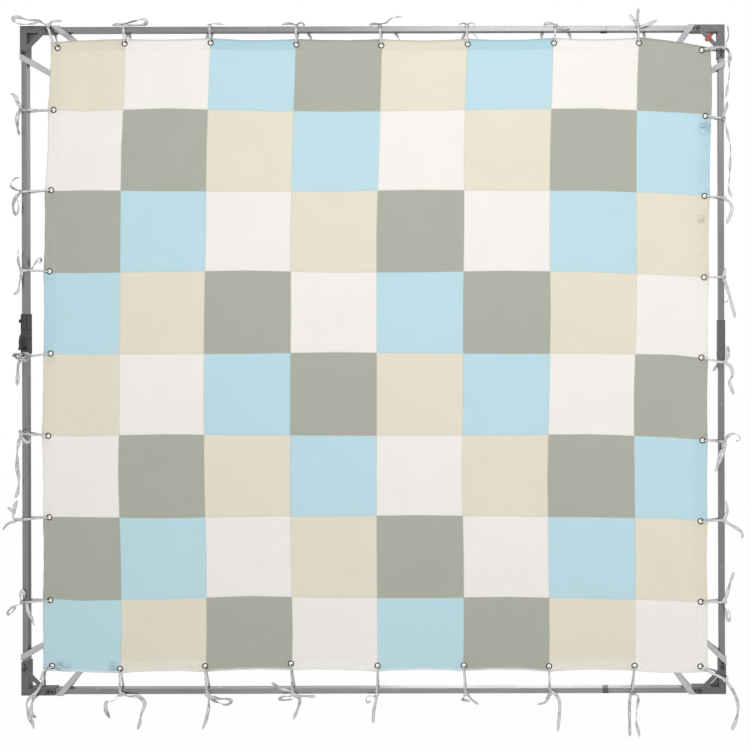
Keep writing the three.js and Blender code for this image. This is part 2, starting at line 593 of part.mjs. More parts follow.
// Side tubes in two lengths, joined inside the couplers.
const sideEnd = HALF_H - TUBE_STOP - FIT;
const COUPLERS = [["left", -1, COUPLER_LEFT_Z, 2], ["right", 1, COUPLER_RIGHT_Z, 1]];
for (const [name, sx, z, quarter] of COUPLERS) {
  const x = sx * SIDE_X;
  const split = z - COUPLER / 2 + SPLIT_ABOVE_END;
  const inner = TUBE - 2 * TUBE_WALL;
  const place = turned(x, z, quarter);
  const hole = moved(bar([0, 0, PIN_Z], [TUBE, 0, PIN_Z], PIN_R + RUN), place);
  const upper = upright(x, split + SPLIT_GAP / 2, sideEnd, TUBE, inner).subtract(hole);
  add(`${name}_tube_upper`, upper, TUBE_GREY);
  add(`${name}_tube_lower`, upright(x, -sideEnd, split - SPLIT_GAP / 2, TUBE, inner), TUBE_GREY);
  add(`${name}_coupler`, moved(couplerSleeve(), place), BLACK);
  add(`${name}_clamp_lever`, moved(clampLever(), place), BLACK);
  add(`${name}_pull_pin`, moved(pullPin(), place), STEEL);
}

/** A point beside one tube: how far along from the middle, and how far inside the tube. */
function beside(side, along, inset) {
  const { out, way, line } = SIDES[side];
  return out.clone().multiplyScalar(line - inset).addScaledVector(way, along);
}

/** A point near one corner, at its insets from the upright and from the rail. */
function nearCorner(sx, sz, insets) {
  return new THREE.Vector3(sx * (SIDE_X - insets[0]), 0, sz * (RAIL_Z - insets[1]));
}

/** How far along a side one seam is, counted in steps from the middle one. */
const seam = (side, step) => SIDES[side].shift + step * SIDES[side].pitch;

/** Where a tie crosses its tube's centre line, and where its eyelet is. */
function tiePlaces({ side, corner, step, at, eye }) {
  if (!corner) {
    const from = seam(side, step);
    return [beside(side, from + at, 0), beside(side, from + eye[0], eye[1])];
  }
  const [sx, sz] = corner;
  const end = SIDES[side].way.x ? sx : sz;
  return [beside(side, end * (SIDES[side].half - at), 0), nearCorner(sx, sz, eye)];
}

/** One edge of the cloth from its insets, half a seam apart. */
function clothEdge(side, insets) {
  const middle = (insets.length - 1) / 2;
  return insets.map((inset, i) => beside(side, seam(side, (i - middle) / 2), inset));
}

/** The cloth: one flat panel with an eyelet swaged in for every tie. */
function cloth() {
  const edge = [
    nearCorner(-1, 1, CORNER_TOP_LEFT), ...clothEdge("top", EDGE_TOP),
    nearCorner(1, 1, CORNER_TOP_RIGHT), ...clothEdge("right", EDGE_RIGHT).reverse(),
    nearCorner(1, -1, CORNER_BOTTOM_RIGHT), ...clothEdge("bottom", EDGE_BOTTOM).reverse(),
    nearCorner(-1, -1, CORNER_BOTTOM_LEFT), ...clothEdge("left", EDGE_LEFT),
  ];
  const shape = new THREE.Shape(edge.map((p) => new THREE.Vector2(p.x, p.z)));
  const ring = (x, z, r) => new THREE.Path(circle(x, z, r, EYELET_SIDES));
  const eyes = TIES.map((tie) => tiePlaces(tie)[1]).map((eye) => [eye.x, eye.z]);
  const seat = (EYELET_R + EYELET_HOLE_R) / 2;
  eyes.forEach(([x, z]) => shape.holes.push(ring(x, z, seat)));
  const raise = (outline, depth) => {
    const flat = { depth, bevelEnabled: false };
    const at = new THREE.Vector3(0, depth / 2, 0);
    const frame = new THREE.Matrix4().makeBasis(RIGHTWARD, UPWARD, FRONT).setPosition(at);
    return solid(new THREE.ExtrudeGeometry(outline, flat), frame);
  };
  const eyelets = eyes.map(([x, z]) => {
    const rim = new THREE.Shape(circle(x, z, EYELET_R, EYELET_SIDES));
    rim.holes.push(ring(x, z, EYELET_HOLE_R));
    return raise(rim, EYELET_THICK);
  });
  return join(raise(shape, CLOTH), ...eyelets);
}
add("cloth", cloth(), CLOTH_WHITE);

/** One tie: a loop through its eyelet and round the tube, a knot, and its loose ends. */
function tapeTie(tie) {
  const { side, corner, proud, ends } = tie;
  const { out, way: along } = SIDES[side];
  const [cross, from] = tiePlaces(tie);
  const thick = corner ? SLEEVE : TUBE;
  const h = thick / 2 + TIE_GAP;
  const over = (corner ? BRACE_THICK + 2 * FIT : 0) + (proud ? SLEEVE_WALL + 2 * FIT : 0);
  const lead = corner ? TIE_CORNER_LEAD : 0;
  const u = cross.clone().sub(from).normalize();
  const across = u.clone().cross(FRONT);
  const lean = u.dot(out);
  const tilt = Math.sqrt(1 - lean * lean) / lean;
  const gap = cross.clone().sub(from).dot(out) - thick / 2;
  const start = gap / lean - (TAPE / 2) * tilt - TIE_GAP;
  const stop = (gap + thick) / lean + (TAPE / 2) * tilt + TIE_GAP;
  const t = TAPE_THICK;
  const eyeAt = TIE_IN_EYE;
  const eyeDeep = TIE_EYE_DEEP;
  const inner = [[start, -h], [stop, -h], [stop, h + over], [start - lead, h + over],
    [eyeAt, eyeDeep], [eyeAt, -eyeDeep]];
  const outer = [[start - t / 2, -h - t], [stop + t, -h - t], [stop + t, h + over + t],
    [start - lead - t / 2, h + over + t], [eyeAt - t, eyeDeep + t / 2],
    [eyeAt - t, -eyeDeep - t / 2]];
  let made = band(inner, outer, TAPE, from, u, across);
  const face = cross.clone().addScaledVector(out, thick / 2);
  const slide = u.dot(along) / lean * (thick / 2);
  const k = KNOT_LONG / 2;
  const front = h + over + t;
  const r = KNOT_ROUND;
  const knot = [
    [slide - k, r - KNOT_IN], [slide - k + r, -KNOT_IN],
    [slide + k - r, -KNOT_IN], [slide + k, r - KNOT_IN],
    [slide + k, KNOT_OUT - r], [slide + k - r, KNOT_OUT],
    [slide - k + r, KNOT_OUT], [slide - k, KNOT_OUT - r],
  ];
  const lay = (points, low, high) =>
    plate(points, high - low, face.clone().addScaledVector(FRONT, low), along, out, FRONT);
  made = join(made, lay(knot, front - 2 * TIE_SINK, front + KNOT_THICK));
  for (const [where, kind, ...points] of ends) {
    const outline = strip(points, kind === "flat" ? TAPE : TAPE_ON_EDGE);
    const deep = kind === "flat" ? t : TAPE;
    const low = where === "front" ? front - TIE_SINK : TIE_SINK - h - t - deep;
    made = join(made, lay(outline, low, low + deep));
  }
  return made;
}
for (const tie of TIES) {
  add(`tie_${tie.name}`, tapeTie(tie), TAPE_WHITE);
}

/** One corner strap: two webbing loops round the tubes, joined behind the cloth. */
function cornerStrap(legs) {
  const t = STRAP_THICK;
  const h = SLEEVE / 2 + TIE_GAP;
  const b = STRAP_BEHIND;
  const ends = [];
  let made = null;
  for (const [side, toCorner, fromCorner, leanDegrees, edge] of legs) {
    const { out, way: along, half } = SIDES[side];
    const lean = THREE.MathUtils.degToRad(leanDegrees);
    const cross = beside(side, toCorner * (half - fromCorner), 0);
    const u = out.clone().multiplyScalar(Math.cos(lean))
      .addScaledVector(along, toCorner * Math.sin(lean));
    const across = along.clone().multiplyScalar(Math.sign(u.clone().cross(FRONT).dot(along)));
    const wide = (SLEEVE / 2 + TIE_GAP) / Math.cos(lean);
    const broad = STRAP / Math.cos(lean);
    const apex = -(edge - STRAP_PAST_EDGE) / Math.cos(lean);
    const inner = [[-wide, -h], [wide, -h], [wide, h], [-wide, h],
      [apex + 2 * t, STRAP_FOLD - b], [apex + 2 * t, -STRAP_FOLD - b]];
    const outer = [[-wide - t / 2, -h - t], [wide + t, -h - t], [wide + t, h + t],
      [-wide - t / 2, h + t], [apex - t, t - b], [apex - t, -t - b]];
    const loop = band(inner, outer, broad, cross, u, across);
    const end = apex - (STRAP_SEWN + STRAP_PAST_EDGE) / Math.cos(lean);
    const w = broad / 2;
    const origin = cross.clone().addScaledVector(FRONT, -b - t);
    const sewn = apex + SINK;
    const run = plate([[end, -w], [sewn, -w], [sewn, w], [end, w]],
      2 * t, origin, u, across, FRONT);
    made = made ? join(made, loop, run) : join(loop, run);
    ends.push(cross.clone().addScaledVector(u, end + w));
  }
  const way = ends[1].clone().sub(ends[0]);
  const u = way.clone().normalize();
  const w = STRAP / 2;
  const origin = ends[0].clone().addScaledVector(FRONT, -b - t);
  const tail = plate([[-w, -w], [way.length() + w, -w], [way.length() + w, w], [-w, w]],
    2 * t, origin, u, u.clone().cross(FRONT), FRONT);
  return join(made, tail);
}
for (const { name, legs } of STRAPS) {
  add(`corner_strap_${name}`, cornerStrap(legs), WEB_GREY);
}

export default assembly;
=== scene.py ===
"""A patchwork bounce cloth laced into a knock-down tube frame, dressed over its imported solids.

Metres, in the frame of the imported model: +X right, +Y to the rear, +Z up. Sizes that a maker
would read off a drawing are written in millimetres times MM.
"""

import json
import logging
import math
from dataclasses import dataclass, field
from enum import Enum

import bmesh
import bpy
from bmesh.types import BMesh, BMVert
from bpy.types import ID, Material, Mesh, Node, NodeSocket as Socket, NodeTree, Object
from mathutils import Matrix, Vector, kdtree, noise

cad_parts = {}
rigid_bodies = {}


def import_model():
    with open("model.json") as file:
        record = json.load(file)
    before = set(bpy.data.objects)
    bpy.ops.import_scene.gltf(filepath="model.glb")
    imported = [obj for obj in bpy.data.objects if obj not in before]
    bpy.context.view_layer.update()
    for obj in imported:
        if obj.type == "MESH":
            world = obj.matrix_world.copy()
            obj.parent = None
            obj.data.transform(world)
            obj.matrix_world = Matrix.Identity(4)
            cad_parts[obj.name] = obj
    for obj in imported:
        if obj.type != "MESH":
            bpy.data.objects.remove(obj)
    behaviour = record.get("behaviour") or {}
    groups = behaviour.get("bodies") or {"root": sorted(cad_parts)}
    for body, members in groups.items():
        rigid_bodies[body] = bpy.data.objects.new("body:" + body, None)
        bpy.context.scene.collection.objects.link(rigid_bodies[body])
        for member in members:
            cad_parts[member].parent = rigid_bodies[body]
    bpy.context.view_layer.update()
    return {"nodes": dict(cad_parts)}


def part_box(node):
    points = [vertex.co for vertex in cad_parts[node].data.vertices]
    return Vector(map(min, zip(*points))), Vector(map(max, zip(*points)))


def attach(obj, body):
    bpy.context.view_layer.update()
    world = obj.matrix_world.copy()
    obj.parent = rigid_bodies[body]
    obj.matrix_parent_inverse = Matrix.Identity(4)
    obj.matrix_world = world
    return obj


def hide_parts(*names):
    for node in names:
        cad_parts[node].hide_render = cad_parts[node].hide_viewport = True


for leftover in list(bpy.data.objects):
    bpy.data.objects.remove(leftover)
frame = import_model()

log = logging.getLogger("bounce_cloth")

MM = 0.001
TUBE = 19.05 * MM
SLEEVE = 24.05 * MM
HALF_W = 1219.2 * MM
HALF_H = 1158.5 * MM
SIDE_X = HALF_W - SLEEVE / 2
RAIL_Z = HALF_H - SLEEVE / 2
PATCH_WIDE = 298.05 * MM
PATCH_TALL = 282.875 * MM
PATCHES = 8
MID_Y = -TUBE / 2
MID_Z = -RAIL_Z
FORWARD = Vector((0, -1, 0))
RIGHTWARD = Vector((1, 0, 0))
UPWARD = Vector((0, 0, 1))
FRAME_BODY = "frame"

Colour = tuple[float, float, float, float]


def spot(x: float, z: float, forward: float = 0.0) -> Vector:
    """A point right of, above and in front of the frame's centre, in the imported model's frame."""
    return Vector((x, MID_Y - forward, MID_Z + z))


def srgb(red: int, green: int, blue: int) -> Colour:
    """Turns a display colour into the linear colour that a shader takes.

    Args:
        red: Red from 0 to 255.
        green: Green from 0 to 255.
        blue: Blue from 0 to 255.

    Returns:
        Linear red, green, blue and an alpha of 1.
    """
    parts = [c / 255 for c in (red, green, blue)]
    linear = [c / 12.92 if c <= 0.04045 else ((c + 0.055) / 1.055) ** 2.4 for c in parts]
    return (*linear, 1.0)


def ease(t: float) -> float:
    """A smooth step from 0 to 1 as t goes from 0 to 1."""
    t = min(1.0, max(0.0, t))
    return t * t * (3 - 2 * t)


def rising(value: float, start: float, length: float) -> float:
    """A smooth step from 0 to 1 as a value goes on from a start over a length."""
    return ease((value - start) / length)


def shaded(colour: Colour, share: float) -> Colour:
    """A colour made darker or lighter, at most white."""
    return (*(min(1.0, c * share) for c in colour[:3]), 1.0)


class Side(Enum):
    """The frame's four sides."""

    TOP = ((0, 0, 1), (1, 0, 0), RAIL_Z, HALF_W, PATCH_WIDE, 31 * MM)
    BOTTOM = ((0, 0, -1), (1, 0, 0), RAIL_Z, HALF_W, PATCH_WIDE, 11 * MM)
    LEFT = ((-1, 0, 0), (0, 0, 1), SIDE_X, HALF_H, PATCH_TALL, 22 * MM)
    RIGHT = ((1, 0, 0), (0, 0, 1), SIDE_X, HALF_H, PATCH_TALL, 1 * MM)

    def __init__(self, out: tuple, along: tuple, line: float, half: float,
                 pitch: float, shift: float) -> None:
        """Keeps a side's measures.

        Args:
            out: The direction away from the cloth.
            along: The direction along the tube.
            line: How far the tube's centre line is from the frame's centre.
            half: Half the side's outer length.
            pitch: How far apart the seams are.
            shift: How far along the side the middle seam is.
        """
        self.out = Vector(out)
        self.along = Vector(along)
        self.line = line
        self.half = half
        self.pitch = pitch
        self.shift = shift

    def seam(self, step: float) -> float:
        """How far along the side a seam is, in steps from the middle one."""
        return self.shift + step * self.pitch

    def beside(self, along: float, inset: float) -> Vector:
        """A point along the tube from its middle, and inside its centre line."""
        flat = self.out * (self.line - inset) + self.along * along
        return spot(flat.x, flat.z)


# Finishes


class Nodes:
    """A node tree with short ways to add to it."""

    def __init__(self, tree: NodeTree) -> None:
        """Takes a tree in hand."""
        self.tree = tree

    def link(self, source: object, target: Socket) -> None:
        """Gives an input its source.

        Args:
            source: The output that it is joined to, or else a plain value.
            target: The input.
        """
        if isinstance(source, Socket):
            self.tree.links.new(source, target)
        else:
            target.default_value = source

    def node(self, kind: str, **settings: object) -> Node:
        """Adds a node.

        Args:
            kind: The node's type name.
            settings: Node settings, input values, or sockets to link, by name with _ for a space.

        Returns:
            The new node.
        """
        made = self.tree.nodes.new(kind)
        for key, value in settings.items():
            if hasattr(made, key) and not isinstance(value, Socket):
                setattr(made, key, value)
            else:
                self.link(value, made.inputs[key.replace("_", " ")])
        return made

    def maths(self, operation: str, *values: Socket | float) -> Socket:
        """Combines values or numbers.

        Args:
            operation: How they are combined.
            values: The values or numbers.

        Returns:
            The outcome.
        """
        made = self.node("ShaderNodeMath", operation=operation)
        for value, socket in zip(values, made.inputs):
            self.link(value, socket)
        return made.outputs[0]


class Graph(Nodes):
    """A material's node graph with its shader at hand."""

    # The colour sockets of a mix node share their names with its other sockets.
    MIX_FIRST = 6
    MIX_SECOND = 7
    MIX_RESULT = 2

    def __init__(self, name: str) -> None:
        """Starts a material with one principled shader.

        Args:
            name: The material's name.
        """
        self.material = bpy.data.materials.new(name)
        self.material.use_nodes = True
        super().__init__(self.material.node_tree)
        self.shader = self.tree.nodes["Principled BSDF"]

    def set(self, **values: object) -> None:
        """Sets the shader's own sockets, by name with _ for a space, to numbers or patterns."""
        for key, value in values.items():
            self.link(value, self.shader.inputs[key.replace("_", " ")])

    def place(self, scale: tuple[float, float, float] = (1, 1, 1), uv: str = "") -> Socket:
        """Adds scaled texture coordinates.

        Args:
            scale: The scale along each axis.
            uv: The UV map that is read, or nothing for the object's own coordinates.

        Returns:
            The coordinates.
        """
        if uv:
            source = self.node("ShaderNodeUVMap", uv_map=uv).outputs["UV"]
        else:
            source = self.node("ShaderNodeTexCoord").outputs["Object"]
        return self.node("ShaderNodeMapping", Vector=source, Scale=scale).outputs[0]

    def noise(self, place: Socket, scale: float, detail: float = 3.0) -> Socket:
        """A noise pattern's value on some coordinates."""
        made = self.node("ShaderNodeTexNoise", Vector=place, Scale=scale, Detail=detail)
        return made.outputs["Fac"]

    def wave(self, place: Socket, scale: float, axis: str) -> Socket:
        """A band pattern's value on some coordinates."""
        made = self.node("ShaderNodeTexWave", Vector=place, Scale=scale, bands_direction=axis)
        return made.outputs["Fac"]

    def plus(self, first: Socket, second: Socket | float) -> Socket:
        """The sum of a value and another value or a number."""
        return self.maths("ADD", first, second)

    def times(self, first: Socket, second: Socket | float) -> Socket:
        """The product of a value and another value or a number."""
        return self.maths("MULTIPLY", first, second)

    def spread(self, value: Socket, low: float, high: float,
               start: float = 0.0, end: float = 1.0) -> Socket:
        """Maps a value from one range to another.

        Args:
            value: The value.
            low: What start becomes.
            high: What end becomes.
            start: Where the value's range starts.
            end: Where it ends.

        Returns:
            The mapped value.
        """
        made = self.node("ShaderNodeMapRange", Value=value, From_Min=start, From_Max=end,
                         To_Min=low, To_Max=high)
        return made.outputs["Result"]

    def tint(self, colour: Colour, value: Socket, low: float, high: float) -> Socket:
        """A colour's shares by a pattern: low where the pattern is 0, high where it is 1."""
        return self.blend(shaded(colour, low), shaded(colour, high), value)

    def blend(self, base: Socket | Colour, colour: Colour, value: Socket) -> Socket:
        """Lays another colour over one where a pattern says so.

        Args:
            base: The colour where the pattern is 0.
            colour: The colour where it is 1.
            value: The pattern.

        Returns:
            The blended colour.
        """
        made = self.node("ShaderNodeMix", data_type="RGBA", Factor=value)
        self.link(base, made.inputs[self.MIX_FIRST])
        self.link(colour, made.inputs[self.MIX_SECOND])
        return made.outputs[self.MIX_RESULT]

    def attribute(self, name: str) -> Socket:
        """A mesh attribute's value."""
        return self.node("ShaderNodeAttribute", attribute_name=name).outputs["Fac"]

    def bump(self, height: Socket, strength: float, distance: float) -> None:
        """Gives the shader's normal a relief."""
        made = self.node("ShaderNodeBump", Strength=strength, Distance=distance, Height=height)
        self.set(Normal=made.outputs["Normal"])


class Run(Enum):
    """Which way a tube runs, as the stretch of its drawing marks."""

    LEVEL = (4.0, 420.0, 420.0)
    UPRIGHT = (420.0, 420.0, 4.0)


@dataclass(frozen=True)
class TubeMetal:
    """Satin grey tube with fine drawing marks along it and a few rubbed places."""

    name: str
    colour: Colour
    run: Run
    rough: float = 0.36
    rubbed: Colour = srgb(196, 196, 196)

    def make(self) -> Material:
        """Builds the material.

        Returns:
            The tube's material.
        """
        graph = Graph(self.name)
        plain = graph.place()
        marks = graph.noise(graph.place(self.run.value), scale=1.0, detail=4.0)
        cloud = graph.noise(plain, scale=9.0, detail=5.0)
        specks = graph.noise(plain, scale=55.0, detail=6.0)
        base = graph.tint(self.colour, graph.times(marks, cloud), low=0.82, high=1.5)
        scuff = graph.spread(specks, low=0.0, high=0.22, start=0.62, end=0.72)
        graph.set(Base_Color=graph.blend(base, self.rubbed, scuff), Metallic=1.0,
                  Roughness=graph.spread(cloud, self.rough - 0.07, self.rough + 0.1))
        graph.bump(marks, strength=0.12, distance=0.1 * MM)
        return graph.material


@dataclass(frozen=True)
class Coating:
    """A painted or moulded surface with fine grain and worn, paler places."""

    name: str
    colour: Colour
    wear: Colour
    rough: float = 0.5
    metal: float = 0.0
    grain: float = 900.0
    relief: float = 0.25

    def make(self) -> Material:
        """Builds the material.

        Returns:
            The coating's material.
        """
        graph = Graph(self.name)
        plain = graph.place()
        cloud = graph.noise(plain, scale=30.0, detail=4.0)
        grain = graph.noise(plain, scale=self.grain, detail=2.0)
        specks = graph.noise(plain, scale=120.0, detail=6.0)
        base = graph.tint(self.colour, cloud, low=0.8, high=1.2)
        worn = graph.spread(specks, low=0.0, high=0.6, start=0.6, end=0.75)
        graph.set(Base_Color=graph.blend(base, self.wear, worn), Metallic=self.metal,
                  Roughness=graph.spread(cloud, self.rough - 0.1, self.rough + 0.1))
        graph.bump(grain, strength=self.relief, distance=0.15 * MM)
        return graph.material


@dataclass(frozen=True)
class PatchCloth:
    """Plain-woven cotton in one colour, with painted shade where hems and seams double it."""

    name: str
    colour: Colour
    hem_shade: Colour
    thread: float = 230.0
    shade: float = 0.62
    pale: float = 0.6
    seam_shade_share: float = 0.25
    top_shadow_share: float = 0.75
    weave_deep: float = 0.05 * MM
    fold_deep: float = 22 * MM

    def make(self) -> Material:
        """Builds the material.

        Returns:
            The patch's material.
        """
        graph = Graph(self.name)
        flat = graph.place(uv="cloth")
        weave = graph.times(graph.wave(flat, self.thread, "X"), graph.wave(flat, self.thread, "Y"))
        slub = graph.noise(graph.place((16, 300, 1), "cloth"), scale=1.0)
        cloud = graph.noise(flat, scale=7.0, detail=4.0)
        mottle = graph.plus(graph.times(cloud, 0.7), graph.times(slub, 0.3))
        base = graph.tint(self.colour, mottle, low=0.955, high=1.045)
        shade = shaded(self.colour, self.shade)
        # The painted highlight's colour: the patch's colour taken towards white.
        pale = (*(c + self.pale * (1 - c) for c in self.colour[:3]), 1.0)
        # Painted shade: the hem band is darker, as doubled cloth lets less light through.
        hemmed = graph.blend(base, self.hem_shade, graph.attribute("hem"))
        # Painted shade along the seams.
        sewn = graph.blend(hemmed, shade, graph.times(graph.attribute("seam"), self.seam_shade_share))
        # Painted shadow: a dark line along the top edge, where the cloth's rear layer lies in
        # shadow.
        rolled = graph.blend(sewn, shade, graph.times(graph.attribute("top_edge_shadow"), self.top_shadow_share))
        # Painted highlight: paler along the bottom edge and the bottom hem.
        turned = graph.blend(rolled, pale, graph.attribute("low_edge_highlight"))
        folds = graph.noise(graph.place((20, 52, 1), "cloth"), scale=1.0, detail=2.0)
        crumpled = graph.attribute("crumple")
        # Painted shade in the creases where the cloth is crumpled, which the same pattern also
        # bumps.
        dark = graph.times(graph.spread(folds, low=0.0, high=0.8, start=0.52, end=0.32), crumpled)
        graph.set(Base_Color=graph.blend(turned, shade, dark), Roughness=0.9,
                  Sheen_Weight=0.08, Sheen_Roughness=0.5, Specular_IOR_Level=0.2)
        fine = graph.times(graph.plus(weave, slub), self.weave_deep)
        deep = graph.times(graph.times(folds, crumpled), self.fold_deep)
        graph.bump(graph.plus(fine, deep), strength=1.0, distance=1.0)
        return graph.material


@dataclass(frozen=True)
class WovenTape:
    """Flat woven cotton or webbing: ribs across it, lines along it, darker stretches and edges."""

    name: str
    colour: Colour
    shade_and_specks: Colour
    ribs: float
    lines: float
    patchy: float
    half: float
    edge_shade_share: float
    relief: float = 0.5

    def make(self) -> Material:
        """Builds the material.

        Returns:
            The tape's material.
        """
        graph = Graph(self.name)
        flat = graph.place(uv="tape")
        plain = graph.place()
        weave = graph.plus(graph.wave(flat, self.ribs, "X"), graph.wave(flat, self.lines, "Y"))
        cloud = graph.noise(plain, scale=45.0, detail=4.0)
        shade = graph.plus(graph.times(weave, 0.2), graph.times(cloud, 0.6))
        base = graph.tint(self.colour, shade, low=0.86, high=1.14)
        # Darker stretches: painted shade of folds on the tie tape, fine specks on the webbing.
        stretches = graph.noise(plain, scale=self.patchy, detail=2.0)
        stretch_shade_and_specks = graph.spread(stretches, low=0.0, high=0.8, start=0.46, end=0.7)
        # Painted shade towards both edges of the tape.
        across = graph.node("ShaderNodeSeparateXYZ", Vector=flat).outputs["Y"]
        aside = graph.maths("ABSOLUTE", across)
        edge_shade = graph.spread(aside, 0.0, self.edge_shade_share, start=self.half * 0.45, end=self.half)
        shade_and_specks_mask = graph.maths("MAXIMUM", stretch_shade_and_specks, edge_shade)
        graph.set(Base_Color=graph.blend(base, self.shade_and_specks, shade_and_specks_mask), Roughness=0.88,
                  Sheen_Weight=0.1, Sheen_Roughness=0.5, Specular_IOR_Level=0.25)
        graph.bump(weave, strength=self.relief, distance=0.2 * MM)
        return graph.material


class Finishes:
    """Every material of the object, made once."""

    def __init__(self) -> None:
        """Builds all the finishes."""
        grey, dark = (0.24, 0.241, 0.244, 1.0), (0.1, 0.1, 0.102, 1.0)
        self.level_tube = TubeMetal("tube_level", grey, Run.LEVEL).make()
        self.upright_tube = TubeMetal("tube_upright", grey, Run.UPRIGHT).make()
        self.collar = TubeMetal("collar_dark", dark, Run.LEVEL, rough=0.42).make()
        self.corner = Coating("corner_grey", srgb(104, 104, 106), srgb(150, 150, 150),
                              metal=0.55, grain=700.0).make()
        self.black = Coating("coupler_black", srgb(50, 50, 51), srgb(92, 92, 90), rough=0.45).make()
        # Near-black: painted shade in the coupler's grooves, and the rail clip's own colour.
        self.jet = Coating("groove_black", srgb(22, 22, 23), srgb(60, 60, 60), rough=0.6).make()
        self.dark_grey = Coating("coupler_grey", srgb(92, 92, 94), srgb(126, 126, 126)).make()
        self.red = Coating("lock_red", srgb(172, 66, 52), srgb(200, 104, 84),
                           rough=0.42, grain=500.0).make()
        self.screw = Coating("screw_black", srgb(44, 44, 46), srgb(96, 96, 96),
                             rough=0.4, metal=0.6, grain=300.0, relief=0.1).make()
        self.rubber = Coating("tip_rubber", srgb(92, 54, 50), srgb(110, 76, 70), rough=0.7).make()
        self.eyelet = Coating("eyelet_brass", srgb(88, 82, 70), srgb(150, 144, 130),
                              rough=0.34, metal=1.0, grain=200.0, relief=0.05).make()
        # Each patch's second colour is its hem's painted shade.
        self.beige = PatchCloth("patch_beige", srgb(229, 223, 204), srgb(220, 213, 192)).make()
        self.white = PatchCloth("patch_white", srgb(242, 238, 233), srgb(237, 232, 225)).make()
        self.blue = PatchCloth("patch_blue", srgb(190, 221, 230), srgb(170, 207, 219)).make()
        self.grey_green = PatchCloth("patch_grey_green", srgb(174, 176, 163),
                                     srgb(165, 167, 153)).make()
        # Each tape's second colour is its painted shade, and on the webbing also its specks.
        self.tape = WovenTape("tie_tape", srgb(226, 226, 224), srgb(138, 138, 138), ribs=330.0,
                              lines=700.0, patchy=55.0, half=5.5 * MM, edge_shade_share=0.85).make()
        self.webbing = WovenTape("corner_webbing", srgb(204, 204, 204), srgb(150, 150, 152),
                                 ribs=200.0, lines=420.0, patchy=1500.0, half=12 * MM, edge_shade_share=0.4,
                                 relief=0.7).make()
        self.thread = WovenTape("sewing_thread", srgb(226, 223, 214), srgb(214, 211, 202),
                                ribs=900.0, lines=900.0, patchy=90.0, half=1 * MM, edge_shade_share=0.0,
                                relief=0.3).make()


# Meshes


def shown(name: str, data: ID) -> Object:
    """Puts a mesh, a light or a camera in the scene as an object at the origin.

    Args:
        name: The object's name.
        data: What it shows.

    Returns:
        The object.
    """
    made = bpy.data.objects.new(name, data)
    bpy.context.scene.collection.objects.link(made)
    return made


def meshed(shape: BMesh, name: str) -> Mesh:
    """Ends the work on a shape and keeps it as a mesh.

    Args:
        shape: The shape, which is freed.
        name: The mesh's name.

    Returns:
        The mesh.
    """
    mesh = bpy.data.meshes.new(name)
    shape.to_mesh(mesh)
    shape.free()
    return mesh


def settled(obj: Object, name: str) -> Object:
    """Turns an object with modifiers into a plain mesh.

    Args:
        obj: The object with modifiers, which is removed.
        name: The plain object's name.

    Returns:
        The plain object.
    """
    depsgraph = bpy.context.evaluated_depsgraph_get()
    mesh = bpy.data.meshes.new_from_object(obj.evaluated_get(depsgraph), depsgraph=depsgraph)
    bpy.data.objects.remove(obj)
    mesh.name = name
    return shown(name, mesh)


def dressed(obj: Object, body: str, slot: str, *nodes: str) -> Object:
    """Lets a piece ride on a body and stand for nodes.

    Args:
        obj: The finished piece.
        body: The body it rides on.
        slot: Not used.
        nodes: The nodes that it replaces.

    Returns:
        The same piece.
    """
    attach(obj, body)
    if nodes:
        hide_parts(*nodes)
    log.info("%s rides on %s: %d faces", obj.name, body, len(obj.data.polygons))
    return obj


def ringed(name: str, rings: list[list[Vector]], closed: bool) -> Mesh:
    """Skins rings of equally many points, in order.

    Args:
        name: The mesh's name.
        rings: The rings.
        closed: Whether the last ring meets the first; if not, a face closes either end.

    Returns:
        The mesh, smooth between its sharp edges.
    """
    shape = bmesh.new()
    loops = [[shape.verts.new(point) for point in ring] for ring in rings]
    count = len(rings[0])
    for a, b in zip(loops, loops[1:] + loops[:1] if closed else loops[1:]):
        for k in range(count):
            n = (k + 1) % count
            shape.faces.new((a[k], a[n], b[n], b[k]))
    if not closed:
        shape.faces.new(tuple(reversed(loops[0])))
        shape.faces.new(loops[-1])
    bmesh.ops.recalc_face_normals(shape, faces=shape.faces)
    mesh = meshed(shape, name)
    for face in mesh.polygons:
        face.use_smooth = True
    mesh.set_sharp_from_angle(angle=math.radians(40))
    return mesh


def eased_outline(corners: tuple, radius: float, step: float) -> list[Vector]:
    """Rounds an outline's corners and divides its straight edges.

    Args:
        corners: The corners, in order.
        radius: How far from a corner the rounding starts.
        step: About how far apart the points of an edge are.

    Returns:
        The outline's points.
    """
    spots = [Vector(corner) for corner in corners]
    found = []
    for k, here in enumerate(spots):
        before, after = spots[k - 1], spots[(k + 1) % len(spots)]
        a = here + (before - here).normalized() * radius
        b = here + (after - here).normalized() * radius
        end = after + (here - after).normalized() * radius
        count = max(1, round((end - b).length / step))
        found += [a, (a + 2 * here + b) / 4, b]
        found += [b.lerp(end, i / count) for i in range(1, count)]
    return found


